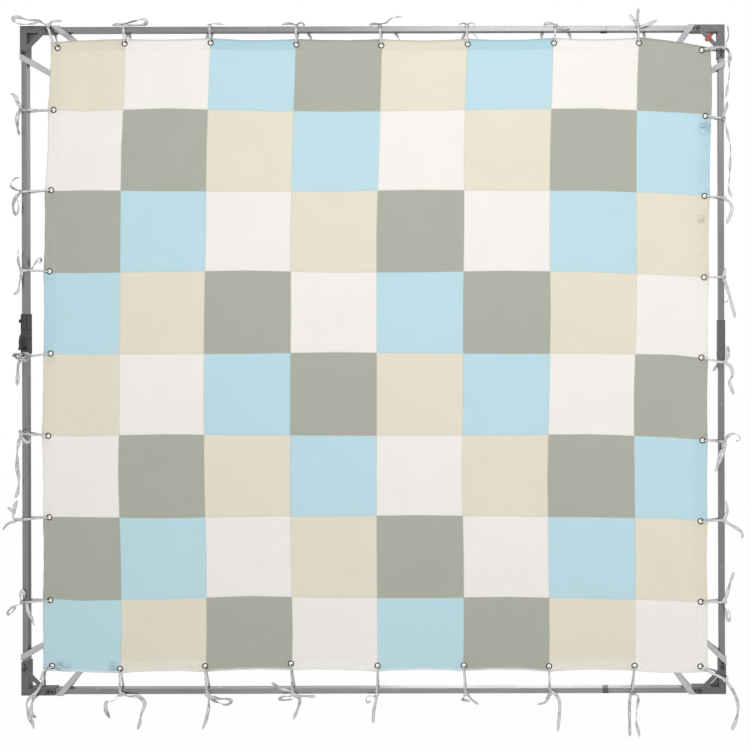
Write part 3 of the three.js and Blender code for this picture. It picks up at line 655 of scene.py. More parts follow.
class Tree(Nodes):
    """A geometry node tree with named sizes, run once into a plain mesh."""

    def __init__(self, name: str, sizes: dict[str, float]) -> None:
        """Starts a tree.

        Args:
            name: The tree's name.
            sizes: Its size inputs, by name, in metres.
        """
        super().__init__(bpy.data.node_groups.new(name, "GeometryNodeTree"))
        face = self.tree.interface
        face.new_socket("Geometry", in_out="INPUT", socket_type="NodeSocketGeometry")
        self.sizes = {}
        for key, value in sizes.items():
            item = face.new_socket(key, in_out="INPUT", socket_type="NodeSocketFloat")
            self.sizes[item.identifier] = value
        face.new_socket("Geometry", in_out="OUTPUT", socket_type="NodeSocketGeometry")
        self.given = self.node("NodeGroupInput")
        self.result = self.node("NodeGroupOutput")

    def size(self, name: str) -> Socket:
        """One of the tree's size inputs."""
        return self.given.outputs[name]

    def vector(self, x: Socket | float, y: Socket | float, z: Socket | float) -> Socket:
        """Three numbers or size inputs as a vector."""
        return self.node("ShaderNodeCombineXYZ", X=x, Y=y, Z=z).outputs[0]

    def geometry(self, kind: str, **settings: object) -> Socket:
        """What a new geometry node puts out."""
        return self.node("GeometryNode" + kind, **settings).outputs[0]

    def moved(self, shape: Socket, **settings: object) -> Socket:
        """A shape moved, turned or scaled."""
        return self.geometry("Transform", Geometry=shape, **settings)

    def joined(self, *shapes: Socket) -> Socket:
        """Makes several shapes one.

        Args:
            shapes: The shapes.

        Returns:
            Them as one shape.
        """
        made = self.node("GeometryNodeJoinGeometry")
        for shape in shapes:
            self.link(shape, made.inputs[0])
        return made.outputs[0]

    def swept(self, path: Socket, section: Socket) -> Socket:
        """A section swept along a path."""
        return self.geometry("CurveToMesh", Curve=path, Profile_Curve=section)

    def cylinder(self, sides: int, radius: Socket, depth: Socket | float) -> Socket:
        """An upright cylinder with flat sides."""
        return self.geometry("MeshCylinder", Vertices=sides, Radius=radius, Depth=depth)

    def oval(self, segments: int, rings: int, radius: float, *scale: Socket) -> Socket:
        """A ball, made of segments round and rings from pole to pole, stretched along each axis."""
        ball = self.geometry("MeshUVSphere", Segments=segments, Rings=rings, Radius=radius)
        return self.moved(ball, Scale=self.vector(*scale))

    def strewn(self, shape: Socket, points: list[Vector], material: Material,
               name: str) -> Object:
        """Realizes a shape on each of the points that the tree is given.

        Args:
            shape: The shape.
            points: The points.
            material: The finish.
            name: The plain object's name.

        Returns:
            The plain object.
        """
        placed = self.geometry("InstanceOnPoints", Points=self.given.outputs[0], Instance=shape)
        return self.run(points, [], placed, material, name)

    def run(self, points: list[Vector], edges: list[tuple[int, int]], shape: Socket,
            material: Material, name: str) -> Object:
        """Realizes a shape over given points and lines.

        Args:
            points: The points that the tree is given.
            edges: The lines between them.
            shape: The tree's last geometry, before it is realized.
            material: The finish.
            name: The plain object's name.

        Returns:
            The plain object.
        """
        real = self.geometry("RealizeInstances", Geometry=shape)
        smooth = self.geometry("SetShadeSmooth", Geometry=real)
        ended = self.geometry("SetMaterial", Geometry=smooth, Material=material)
        self.link(ended, self.result.inputs[0])
        mesh = bpy.data.meshes.new(name + "_given")
        mesh.from_pydata(points, edges, [])
        holder = shown(name + "_given", mesh)
        modifier = holder.modifiers.new(name, "NODES")
        modifier.node_group = self.tree
        for key, value in self.sizes.items():
            modifier[key] = value
        return settled(holder, name)


# Tapes


def curve_through(points: list[Vector], step: float) -> list[tuple[Vector, float]]:
    """Runs one smooth curve through points.

    Args:
        points: The points, in order.
        step: About how far apart the curve's own points are.

    Returns:
        Points of the curve, each with its place among the given points.
    """
    ends = [2 * points[0] - points[1], *points, 2 * points[-1] - points[-2]]
    found = []
    for i in range(1, len(ends) - 2):
        a, b, c, d = ends[i - 1:i + 3]
        span = [max(1e-6, (q - p).length) ** 0.5 for p, q in ((a, b), (b, c), (c, d))]
        m1 = (b - a) / span[0] - (c - a) / (span[0] + span[1]) + (c - b) / span[1]
        m2 = (c - b) / span[1] - (d - b) / (span[1] + span[2]) + (d - c) / span[2]
        m1, m2 = m1 * span[1], m2 * span[1]
        count = max(2, round((c - b).length / step))
        for k in range(count):
            t = k / count
            here = ((2 * t ** 3 - 3 * t ** 2 + 1) * b + (t ** 3 - 2 * t ** 2 + t) * m1
                    + (3 * t ** 2 - 2 * t ** 3) * c + (t ** 3 - t ** 2) * m2)
            found.append((here, i - 1 + t))
    return [*found, (points[-1].copy(), len(points) - 1.0)]


Control = tuple[Vector, Vector, float]


@dataclass
class Tape:
    """A strip of woven tape along a curve, with a softly crowned section.

    Each control is a point, the direction across the tape there, and the share of its full width.
    The crown is half the section, in shares of the width and of the thickness.
    """

    controls: list[Control]
    width: float
    thick: float
    step: float = 2.5 * MM
    sheared: bool = False
    crown: tuple = ((-0.5, 0.22), (-0.4, 0.46), (0.0, 0.5), (0.4, 0.46), (0.5, 0.22))
    gathered: float = 0.8
    line: list[Vector] = field(default_factory=list)

    def frames(self) -> list[tuple[Vector, Vector, Vector, float]]:
        """Works out the tape's curve.

        Returns:
            For each point of the curve: the point, the way across, the face's direction, and the
            share of the full width.
        """
        across = [self.controls[0][1].normalized()]
        for _, way, _ in self.controls[1:]:
            across.append(way.normalized() if way.dot(across[-1]) >= 0 else -way.normalized())
        shares = [share for _, _, share in self.controls]
        curve = curve_through([p for p, _, _ in self.controls], self.step)
        self.line = [p for p, _ in curve]
        found = []
        for i, (here, at) in enumerate(curve):
            before, after = curve[max(0, i - 1)][0], curve[min(len(curve) - 1, i + 1)][0]
            way = (after - before).normalized()
            k = min(int(at), len(across) - 2)
            wide = across[k].lerp(across[k + 1], ease(at - k))
            if not self.sheared:
                wide = wide - way * wide.dot(way)
            if wide.length < 1e-6:
                wide = found[-1][1].copy() if found else way.orthogonal()
            wide.normalize()
            share = shares[k] + (shares[k + 1] - shares[k]) * ease(at - k)
            found.append((here, wide, way.cross(wide).normalized(), share))
        return found

    def length(self) -> float:
        """The curve's length, once it is built."""
        return sum((b - a).length for a, b in zip(self.line, self.line[1:]))

    def build(self, shape: BMesh) -> None:
        """Adds the tape to a mesh.

        Args:
            shape: The mesh that gets the tape.
        """
        uv = shape.loops.layers.uv.get("tape") or shape.loops.layers.uv.new("tape")
        front = [(self.width * a, self.thick * b) for a, b in self.crown]
        section = front + [(a, -b) for a, b in reversed(front)]
        rings = []
        run = 0.0
        last = None
        for here, wide, face, share in self.frames():
            run += (here - last).length if last is not None else 0.0
            last = here
            full = 1 + self.gathered * (1 - share)
            ring = [shape.verts.new(here + wide * (a * share) + face * (b * full))
                    for a, b in section]
            rings.append((run, ring))
        count = len(section)
        for (run_a, ring_a), (run_b, ring_b) in zip(rings, rings[1:]):
            for k in range(count):
                n = (k + 1) % count
                made = shape.faces.new((ring_a[k], ring_a[n], ring_b[n], ring_b[k]))
                made.smooth = True
                spots = ((run_a, k), (run_a, n), (run_b, n), (run_b, k))
                for loop, (u, at) in zip(made.loops, spots):
                    loop[uv].uv = (u, section[at][0])
        for ring, turn in ((rings[0][1], reversed), (rings[-1][1], list)):
            shape.faces.new(tuple(turn(ring)))


def tape_piece(name: str, tapes: list[Tape], material: Material) -> Object:
    """Makes one object of several tapes.

    Args:
        name: The object's name.
        tapes: The tapes in it.
        material: Their finish.

    Returns:
        The object.
    """
    shape = bmesh.new()
    for tape in tapes:
        tape.build(shape)
    bmesh.ops.recalc_face_normals(shape, faces=shape.faces)
    mesh = meshed(shape, name)
    mesh.materials.append(material)
    return shown(name, mesh)


class Lie(Enum):
    """How a tie's loose end lies: before the tube or to its rear, flat or on its edge."""

    FLAT = (True, True)
    EDGE = (True, False)
    REAR_FLAT = (False, True)
    REAR_EDGE = (False, False)

    def __init__(self, before: bool, flat: bool) -> None:
        """Keeps whether an end lies before the tube, and whether it lies flat."""
        self.before = before
        self.flat = flat


def drawn_length(end: tuple) -> float:
    """How long a loose end is drawn, in millimetres."""
    _, points, _ = end
    return sum(math.dist(p, q) for p, q in zip(points, points[1:]))


@dataclass(frozen=True)
class Tie:
    """One row of the lacing: where a tie crosses its tube, its eyelet and its loose ends.

    Millimetres: at is counted from the seam along the side, or from the outer corner; eye is the
    offset from that seam and the inset from the tube, or both insets of a corner's eyelet; an end
    is drawn as (along, out) from the crossing, out counted from the tube's outer face, and so are
    a bundle's further turns. A slack strand is drawn as (right, up) from its eyelet.
    """

    name: str
    side: Side
    step: int | None
    at: float
    eye: tuple[float, float]
    ends: tuple
    corner: tuple[int, int] | None = None
    proud: bool = False
    slack: tuple = ()
    bundle: tuple = ()

    def places(self) -> tuple[Vector, Vector]:
        """Where the tie crosses its tube's centre line, and its eyelet.

        Returns:
            Both points on the frame's middle plane.
        """
        side = self.side
        if self.corner is None:
            seam = side.seam(self.step)
            crossing = side.beside(seam + self.at * MM, 0)
            return crossing, side.beside(seam + self.eye[0] * MM, self.eye[1] * MM)
        across, up = self.corner
        end = across if side.along.x else up
        eye = spot(across * (SIDE_X - self.eye[0] * MM), up * (RAIL_Z - self.eye[1] * MM))
        return side.beside(end * (side.half - self.at * MM), 0), eye


FLAT, EDGE, REAR_FLAT, REAR_EDGE = Lie
TIES = (
    Tie("top_1", Side.TOP, -3, 2, (0, 46), (
        (EDGE, (-2, 6), (-16, 5), (-35, 2)),
        (EDGE, (1, 6), (26, 12), (57, 21), (78, 21), (84, 12), (74, 4), (53, 2), (8, 3)),
        (REAR_FLAT, (2, -6), (12, -36)),
    )),
    Tie("top_2", Side.TOP, -2, 2, (1, 43), (
        (EDGE, (1, 3), (22, 8), (53, 3)),
        (REAR_FLAT, (-3, -6), (-25, -36)),
    )),
    Tie("top_3", Side.TOP, -1, 3, (1, 50), (
        (EDGE, (0, 3), (-21, 7), (-48, 2)),
        (EDGE, (3, 1), (17, 9), (31, 5), (26, 0)),
        (REAR_EDGE, (2, -8), (30, -13), (38, -22), (46, -40)),
    )),
    Tie("top_4", Side.TOP, 0, -4, (-2, 54), (
        (EDGE, (0, 5), (-21, 5), (-38, 1)),
        (EDGE, (3, 5), (21, 8), (38, 22), (59, 29), (76, 29)),
        (REAR_EDGE, (2, -8), (45, -13), (53, -22), (64, -42)),
    )),
    Tie("top_5", Side.TOP, 1, -2, (0, 50), (
        (EDGE, (1, 3), (-12, 7), (-26, 2)),
        (EDGE, (5, 3), (19, 8), (29, 1)),
        (REAR_EDGE, (-2, -8), (-23, -42)),
        (REAR_EDGE, (2, -8), (29, -25), (36, -42)),
    )),
    Tie("top_6", Side.TOP, 2, 7, (2, 47), (
        (EDGE, (-1, 0), (-15, 5), (-32, 5), (-41, 1)),
        (FLAT, (-3, -3), (13, -9), (48, -11)),
        (REAR_FLAT, (-3, -8), (-40, -12), (-47, -22), (-47, -41)),
        (REAR_FLAT, (3, -8), (42, -12), (49, -21), (56, -38)),
    )),
    Tie("top_7", Side.TOP, 3, -5, (-1, 47), (
        (FLAT, (-1, -7), (-13, 14), (-30, 36)),
        (FLAT, (1, -7), (-3, 17), (1, 59)),
        (FLAT, (4, -7), (35, 3), (66, 16)),
        (REAR_FLAT, (3, -8), (20, -13), (25, -24), (25, -45)),
    )),
    Tie("bottom_1", Side.BOTTOM, -3, 5, (-1, 74), (
        (EDGE, (-1, -2), (-21, 19), (-42, 20), (-46, 50), (-32, 78)),
        (FLAT, (3, -6), (34, 4), (62, 5), (86, 23), (75, 68), (64, 118)),
    )),
    Tie("bottom_2", Side.BOTTOM, -2, 7, (-3, 83), (
        (FLAT, (4, -8), (9, 17), (1, 79), (-14, 118)),
        (EDGE, (6, 3), (46, 12), (77, 13), (88, 22), (70, 33), (39, 24), (15, 13)),
    )),
    Tie("bottom_3", Side.BOTTOM, -1, 6, (-3, 91), (
        (FLAT, (1, -10), (-37, -20), (-73, -41)),
        (EDGE, (-2, 4), (-30, 5), (-45, 11), (-30, 17), (1, 14)),
        (EDGE, (5, 4), (46, 3), (81, 5)),
        (FLAT, (5, -3), (24, 11), (19, 49), (3, 84)),
    )),
    Tie("bottom_4", Side.BOTTOM, 0, 0, (0, 83), (
        (FLAT, (-1, -5), (-3, 22), (-10, 53), (-13, 100)),
        (EDGE, (-4, 5), (-27, 4), (-37, 13), (-32, 26), (-20, 20)),
    )),
    Tie("bottom_5", Side.BOTTOM, 1, 7, (2, 84), (
        (FLAT, (0, -11), (21, 16), (45, 36)),
        (EDGE, (0, 3), (-10, 14), (17, 22)),
    )),
    Tie("bottom_6", Side.BOTTOM, 2, 2, (0, 80), (
        (FLAT, (2, -7), (-16, 28), (-43, 35)),
        (FLAT, (3, -10), (23, 4), (33, 24), (33, 63), (28, 128)),
    )),
    Tie("bottom_7", Side.BOTTOM, 3, -9, (-1, 81), (
        (FLAT, (-2, -13), (-10, 15), (-11, 146)),
        (EDGE, (2, -6), (17, 8), (14, 50), (10, 91), (24, 146)),
    )),
    Tie("left_1", Side.LEFT, 3, -3, (0, 96), (
        (FLAT, (-1, -7), (19, 7), (47, 17), (57, 34)),
        (EDGE, (-1, -3), (-22, 8), (-57, 8), (-88, 2)),
    )),
    Tie("left_2", Side.LEFT, 2, -2, (4, 87), (
        (EDGE, (1, -6), (8, 18), (18, 32), (36, 25), (46, 13), (48, 4)),
        (EDGE, (-3, -3), (-25, 16), (-51, 24), (-82, 14), (-61, 5), (-30, 8)),
    )),
    Tie("left_3", Side.LEFT, 1, 9, (5, 81), (
        (EDGE, (2, -2), (26, 6), (70, 7)),
        (FLAT, (-3, -4), (-43, 3), (-71, 10), (-86, 24)),
        (REAR_EDGE, (2, -15), (33, -35), (44, -44), (35, -51), (26, -44)),
    )),
    Tie("left_4", Side.LEFT, 0, -8, (2, 84), (
        (EDGE, (3, -15), (10, 12), (5, 21), (-2, 9), (-5, -15)),
        (EDGE, (-3, -5), (-28, 5), (-69, 7), (-99, 9)),
    ), proud=True, bundle=(
        (EDGE, (6, 17), (14, -2), (14, -20), (7, -37)),
        (EDGE, (7, 20), (-4, 8), (-12, -12), (-11, -26), (0, -40)),
        (EDGE, (2, 15), (-7, 1), (-9, -17), (-4, -33)),
        (EDGE, (5, 8), (10, -6), (8, -20), (1, -24), (-2, -10), (4, 3)),
    )),
    Tie("left_5", Side.LEFT, -1, 8, (-1, 75), (
        (EDGE, (3, -29), (14, -11), (12, 3), (-9, -5), (-28, -22), (-23, -34), (-9, -27)),
        (FLAT, (-2, -1), (-33, 9), (-78, 14), (-126, 12), (-175, 8), (-220, 18)),
    )),
    Tie("left_6", Side.LEFT, -2, -5, (-1, 78), (
        (FLAT, (0, -5), (3, 26), (42, 23), (66, 14)),
        (FLAT, (21, 23), (42, 47)),
        (EDGE, (-2, 2), (-7, 25), (-14, 44), (-35, 61)),
    )),
    Tie("left_7", Side.LEFT, -3, -9, (-6, 81), (
        (EDGE, (-1, -6), (20, 3), (43, -3), (32, -12), (13, -9)),
        (EDGE, (-4, 5), (-15, 29), (-34, 46), (-41, 41), (-21, 22), (-16, 17)),
        (FLAT, (-1, -16), (-35, -26), (-79, -45)),
    )),
    Tie("right_1", Side.RIGHT, 3, -15, (-5, 52), (
        (FLAT, (1, -7), (30, 5), (56, 11)),
        (EDGE, (-1, -3), (-43, 8), (-105, 20), (-181, 18), (-250, 15), (-275, 25)),
    )),
    Tie("right_2", Side.RIGHT, 2, -7, (0, 56), (
        (FLAT, (-1, -6), (-18, 18), (-34, 26), (-58, 21), (-91, 7)),
    )),
    Tie("right_3", Side.RIGHT, 1, 1, (0, 58), (
        (FLAT, (0, -5), (31, 4)),
        (FLAT, (-2, -5), (-44, 10), (-85, 22), (-141, 36)),
        (EDGE, (-68, 17), (-83, 9), (-89, -3)),
    )),
    Tie("right_4", Side.RIGHT, 0, -12, (4, 68), (
        (EDGE, (2, 4.5), (35, 8), (54, 9), (35, 16), (14, 12)),
        (FLAT, (0, -5), (-14, 19), (-42, 26), (-66, 15), (-87, 21), (-111, 29)),
        (REAR_FLAT, (-2, -12), (-33, -34)),
    ), proud=True),
    Tie("right_5", Side.RIGHT, -1, -3, (-1, 65), (
        (EDGE, (0, -3), (21, 11), (29, 29), (21, 46), (7, 51), (3, 37)),
        (FLAT, (-3, -3), (-42, -15), (-76, -24), (-104, -32)),
    ), bundle=(
        (FLAT, (-6, 2), (-30, -4), (-54, -13), (-82, -25)),
        (EDGE, (-10, -4), (-34, -17), (-62, -25), (-92, -26)),
    )),
    Tie("right_6", Side.RIGHT, -2, 8, (1, 72), (
        (FLAT, (0, -6), (30, 7), (66, 3)),
        (FLAT, (-1, -6), (-19, 25), (-34, 49), (-45, 59), (-62, 59)),
    )),
    Tie("right_7", Side.RIGHT, -3, 7, (4, 72), (
        (FLAT, (1, -9), (34, 8), (68, 16), (105, 31)),
        (EDGE, (-1, -9), (-29, 2), (-62, 8), (-56, 16), (-25, 10)),
    )),
    Tie("corner_top_left", Side.TOP, None, 102, (111, 60), (
        (EDGE, (-3, -3), (-26, 12), (-68, 17), (-99, 26), (-115, 24), (-118, 16),
         (-106, 5), (-75, 2), (-33, 6)),
        (FLAT, (-3, -7), (14, 10), (46, 14)),
    ), corner=(-1, 1)),
    Tie("corner_top_right", Side.RIGHT, None, 80, (64, 73), (
        (EDGE, (2, -9), (26, 8), (47, 10), (71, 7)),
        (FLAT, (-2, -9), (-14, 10), (-50, 21)),
        (EDGE, (-12, 10), (-64, 12), (-113, 11), (-175, 0)),
    ), corner=(1, 1)),
    Tie("corner_bottom_left", Side.BOTTOM, None, 57, (87, 85), (
        (FLAT, (-1, -15), (-25, 6), (-33, 25), (-28, 51), (-8, 110)),
        (FLAT, (-4, -11), (-15, 27), (-18, 54), (-1, 72)),
    ), corner=(-1, -1), slack=((-22, -13), (-33, -42))),
    Tie("corner_bottom_right", Side.RIGHT, None, 60, (74, 78), (
        (FLAT, (-3, -13), (-24, 8), (-62, 30), (-97, 39), (-145, 32), (-180, 15)),
    ), corner=(1, -1)),
)


# The knot's turns: the tilt in radians, then half the size across, half the depth and the tape's
# width there, in millimetres.
KNOT_TURNS = ((0.15, 7.0, 2.7, 9.0), (0.85, 5.6, 3.5, 7.0), (-0.6, 6.4, 3.0, 5.0))


@dataclass
class TieWork:
    """One tape tie: through its eyelet, round the tube, knotted in front, with loose ends.

    A strand's mark is how far it is from the eyelet, how far forward, and its share of the width.
    """

    tie: Tie
    finishes: Finishes
    width: float = 11 * MM
    thick: float = 1.0 * MM
    gap: float = 0.3 * MM
    layer: float = 1.2 * MM
    brace: float = 3.6 * MM
    sleeve: float = 2.8 * MM
    corner_lead: float = 30 * MM
    through: float = 3.9 * MM
    wrap_step: float = 1.5 * MM
    bend: float = 9 * MM
    loose: float = 30 * MM
    roll: float = 0.62
    wave: float = 0.55
    tilt: float = 0.55
    rank_lift: float = 0.35 * MM
    taper: float = 1.4
    cut: float = 0.62

    def __post_init__(self) -> None:
        """Works out where the tape meets the tube."""
        tie = self.tie
        self.crossing, self.eye = tie.places()
        tube = SLEEVE if tie.corner else TUBE
        self.height = tube / 2 + self.gap
        self.over = (self.brace if tie.corner else 0) + (self.sleeve if tie.proud else 0)
        self.front = self.height + self.over + self.layer
        self.way = (self.crossing - self.eye).normalized()
        self.across = self.way.cross(FORWARD)
        lean = self.way.dot(tie.side.out)
        tilt = math.sqrt(max(0.0, 1 - lean * lean)) / lean
        reach = (self.crossing - self.eye).dot(tie.side.out) - tube / 2
        lead = self.corner_lead if tie.corner else 0
        self.start = reach / lean - self.width / 2 * tilt - self.gap
        self.stop = (reach + tube) / lean + self.width / 2 * tilt + self.gap
        self.lead = self.start - lead
        self.middle = (reach + tube / 2) / lean
        self.face = self.crossing + tie.side.out * (tube / 2)
        self.slide = self.way.dot(tie.side.along) / lean * (tube / 2)

    def strand(self, along: float, forward: float) -> Vector:
        """A point of the loop: how far from the eyelet, and how far forward."""
        return self.eye + self.way * along + FORWARD * forward

    def front_strand(self, end: Vector) -> list[Control]:
        """The loop's front half, from the eyelet to the knot.

        Args:
            end: Where the loose end goes on from the knot.

        Returns:
            The tape's controls, gathered in the eyelet and spread on the tube.
        """
        lie = self.height + self.over + self.layer / 2
        out = self.through
        marks = (
            (2.4 * MM, 0.0, 0.4), (3.4 * MM, out, 0.42),
            (self.lead * 0.5, out + (lie - out) * 0.52, 0.56), (self.lead, lie, 0.74),
            (self.middle, lie, 0.84), (self.stop - 6 * MM, lie + 0.2 * MM, 0.9),
        )
        last = (end - self.eye).dot(self.way) - 6 * MM
        controls = [(self.strand(u, d), self.across, share) for u, d, share in marks if u < last]
        return self.slackened(controls, 1)

    def slackened(self, controls: list[Control], front: int) -> list[Control]:
        """Lets a strand hang slack beside the eyelet, if its tie does.

        Args:
            controls: The strand's controls, drawn straight.
            front: 1 in front of the cloth, -1 behind it.

        Returns:
            The controls, the third one changed for the slack ones.
        """
        hung = []
        before = self.eye
        for i, (right, up) in enumerate(self.tie.slack):
            here = self.eye + RIGHTWARD * (right * MM) + UPWARD * (up * MM)
            across = (here - before).normalized().cross(FORWARD)
            hung.append((here + FORWARD * (front * (5 + 4 * i) * MM), across, 0.7))
            before = here
        return controls[:2] + hung + controls[3:] if hung else controls

    def rear_strand(self) -> list[Control]:
        """The loop's rear half, from the eyelet round the tube to the knot.

        Returns:
            The tape's controls.
        """
        lie = self.height + self.layer / 2
        out = self.through
        top = lie + self.over
        edge = self.stop + self.layer / 2
        marks = (
            (2.0 * MM, 0.0, 0.4), (3.4 * MM, -out, 0.42),
            (self.start * 0.5, -out - (lie - out) * 0.5, 0.5), (self.start, -lie, 0.7),
            (self.middle, -lie, 0.9), (self.stop - 1.5 * MM, -lie, 0.9),
            (edge, -lie + 2 * MM, 0.9), (edge, 0.0, 0.9), (edge, top - 2 * MM, 0.9),
            (self.stop - 1.5 * MM, top + 0.5 * MM, 0.9), (self.stop - 7 * MM, top + 0.8 * MM, 0.9),
        )
        controls = [(self.strand(u, d), self.across, share) for u, d, share in marks]
        return self.slackened(controls, -1)

    def end(self, lie: Lie, points: tuple, rank: int) -> list[Control]:
        """One loose end, which rolls a little along its way and is cut to a point.

        Args:
            lie: How it lies.
            points: Its drawn points.
            rank: Its place among the ends, which keeps crossing ends apart.

        Returns:
            The tape's controls.
        """
        half = (self.layer if lie.flat else self.width) / 2
        if lie.before:
            depth = self.front + half - 0.2 * MM + rank * self.rank_lift
        else:
            depth = 0.2 * MM - self.height - self.layer - half
        side = self.tie.side
        drawn = [self.face + side.along * (a * MM) + side.out * (o * MM) + FORWARD * depth
                 for a, o in points]
        line = [here for here, _ in curve_through(drawn, self.bend)]
        last = len(line) - 1
        # Every end starts its roll at another place, and always at the same one.
        phase = 1.7 * rank + 2.3 * len(self.tie.name) + 0.9 * self.tie.at
        lean = 0.0 if lie.flat else self.tilt
        controls = []
        for i, here in enumerate(line):
            way = (line[min(i + 1, last)] - line[max(i - 1, 0)]).normalized()
            free = ease(i * self.bend / self.loose)
            roll = free * (self.roll * math.sin(phase + i * self.wave) + lean)
            across = Matrix.Rotation(roll, 3, way) @ (FORWARD.cross(way) if lie.flat else FORWARD)
            lift = self.width / 2 * abs(math.sin(roll)) if lie.flat else 0.0
            share = 1 - self.cut * ease((i - last + self.taper) / self.taper)
            controls.append((here + FORWARD * (lift if lie.before else -lift), across, share))
        return controls

    def knot(self) -> list[Tape]:
        """The knot: three turns of tape drawn tight over the strands.

        Returns:
            The knot's tapes.
        """
        side = self.tie.side
        middle = self.face + side.along * self.slide + FORWARD * (self.front + self.layer)
        count = 10
        turns = []
        for tilt, wide, deep, width in KNOT_TURNS:
            level = side.along * math.cos(tilt) + side.out * math.sin(tilt)
            axis = side.out * math.cos(tilt) - side.along * math.sin(tilt)
            ring = []
            for k in range(count):
                angle = k / count * math.tau
                lump = 1 + 0.07 * math.sin(3 * angle + len(self.tie.name))
                here = level * (math.cos(angle) * wide * lump * MM)
                here += FORWARD * (math.sin(angle) * deep * MM)
                ring.append((middle + here, axis, 1.0))
            turns.append(Tape(ring + ring[:1], width * MM, self.thick, self.wrap_step))
        return turns

    def build(self) -> None:
        name = f"tie_{self.tie.name}"
        drawn = [(lie, points, i) for i, (lie, *points) in enumerate(self.tie.ends)]
        longest = max((end for end in drawn if end[0].before), key=drawn_length)
        loose = self.end(*longest)
        main = Tape(self.front_strand(loose[0][0]) + loose, self.width, self.thick)
        rest = [Tape(self.rear_strand(), self.width, self.thick, self.wrap_step), *self.knot()]
        others = [end for end in drawn if end is not longest]
        others += [(lie, points, len(drawn) + i)
                   for i, (lie, *points) in enumerate(self.tie.bundle)]
        rest += [Tape(self.end(*other), self.width, self.thick) for other in others]
        tape = tape_piece(name + "_tape", [main], self.finishes.tape)
        loops = tape_piece(name + "_loops", rest, self.finishes.tape)
        dressed(tape, FRAME_BODY, "tape", name)
        dressed(loops, FRAME_BODY, "tape")


@dataclass(frozen=True)
class StrapLeg:
    """One end of a corner strap.

    Attributes:
        side: The side whose tube it goes round.
        corner: Which way along the side the corner is.
        at: Millimetres from the outer corner.
        lean: Degrees towards the corner.
        edge: Millimetres from the tube's centre line to the cloth's edge there.
    """

    side: Side
    corner: int
    at: float
    lean: float
    edge: float


STRAPS = {
    "top_left": (StrapLeg(Side.TOP, -1, 135, 50, 33), StrapLeg(Side.LEFT, 1, 112, 30, 87)),
    "top_right": (StrapLeg(Side.TOP, 1, 122, 35, 46), StrapLeg(Side.RIGHT, 1, 140, 26, 33)),
    "bottom_left": (StrapLeg(Side.LEFT, -1, 138, 29, 57), StrapLeg(Side.BOTTOM, -1, 142, 39, 62)),
    "bottom_right": (StrapLeg(Side.RIGHT, -1, 126, 41, 49), StrapLeg(Side.BOTTOM, 1, 125, 37, 59)),
}


@dataclass
class CornerStraps:
    """The corners' webbing: each strap is sewn behind the cloth and looped round two tubes."""

    finishes: Finishes
    width: float = 20 * MM
    thick: float = 1.5 * MM
    behind: float = 3.1 * MM
    sewn: float = 60 * MM
    past_edge: float = 8 * MM
    off_front: float = 1.1 * MM
    off_edge: float = 0.9 * MM

    def leg(self, leg: StrapLeg) -> tuple[Tape, Vector]:
        """One leg: from behind the cloth, round the tube and back.

        Args:
            leg: The leg's row.

        Returns:
            The webbing, folded along the tube's edges, and where its end is sewn.
        """
        side = leg.side
        lean = math.radians(leg.lean)
        crossing = side.beside(leg.corner * (side.half - leg.at * MM), 0)
        way = side.out * math.cos(lean) + side.along * (leg.corner * math.sin(lean))
        height = SLEEVE / 2 + self.off_front
        wide = (SLEEVE / 2 + self.off_edge) / math.cos(lean)
        apex = -(leg.edge * MM - self.past_edge) / math.cos(lean)
        end = apex - (self.sewn + self.past_edge) / math.cos(lean)
        b = self.behind
        # A mark is how far out from the tube's middle, and how far forward.
        front = (
            (-wide, height - 0.4 * MM), (-wide * 0.6, height), (wide * 0.6, height),
            (wide - 1 * MM, height - 0.6 * MM), (wide, height - 4 * MM),
        )
        marks = (
            (end, -b), (apex - 12 * MM, -b), (apex, -b + 0.9 * MM),
            *front, *((u, -d) for u, d in reversed(front)),
            (apex, -b - 0.9 * MM), (apex - 14 * MM, -b - 1.6 * MM), (end + 20 * MM, -b - 1.6 * MM),
        )
        controls = [(crossing + way * u + FORWARD * d, side.along, 1.0) for u, d in marks]
        webbing = Tape(controls, self.width / math.cos(lean), self.thick, 2 * MM, sheared=True)
        return webbing, crossing + way * (end + self.width / 2) - FORWARD * (b + 0.8 * MM)

    def build(self) -> None:
        """Makes the four straps."""
        for name, legs in STRAPS.items():
            made = [self.leg(leg) for leg in legs]
            tapes = [webbing for webbing, _ in made]
            low, high = made[0][1], made[1][1]
            wide = (high - low).normalized().cross(FORWARD)
            between = [(low.lerp(high, t), wide, 1.0) for t in (0, 0.5, 1)]
            tapes.append(Tape(between, self.width, self.thick, 8 * MM))
            strap = tape_piece(f"corner_strap_{name}_webbing", tapes, self.finishes.webbing)
            dressed(strap, FRAME_BODY, "webbing", f"corner_strap_{name}")


# Cloth


@dataclass(frozen=True)
class Place:
    """A place on the cloth.

    It is u patches from the left edge and v from the bottom one, x right of the frame's centre
    and z above it, and edge is its distance from the cloth's nearest edge.
    """

    u: float
    v: float
    x: float
    z: float
    edge: float


# How plainly a colour's hem shows: painted shade at top and sides, painted highlight at bottom.
HEM_SHOWS = {"S": 0.75, "B": 0.6}
LOW_HEM_SHOWS = {"B": 0.3, "W": 0.3}


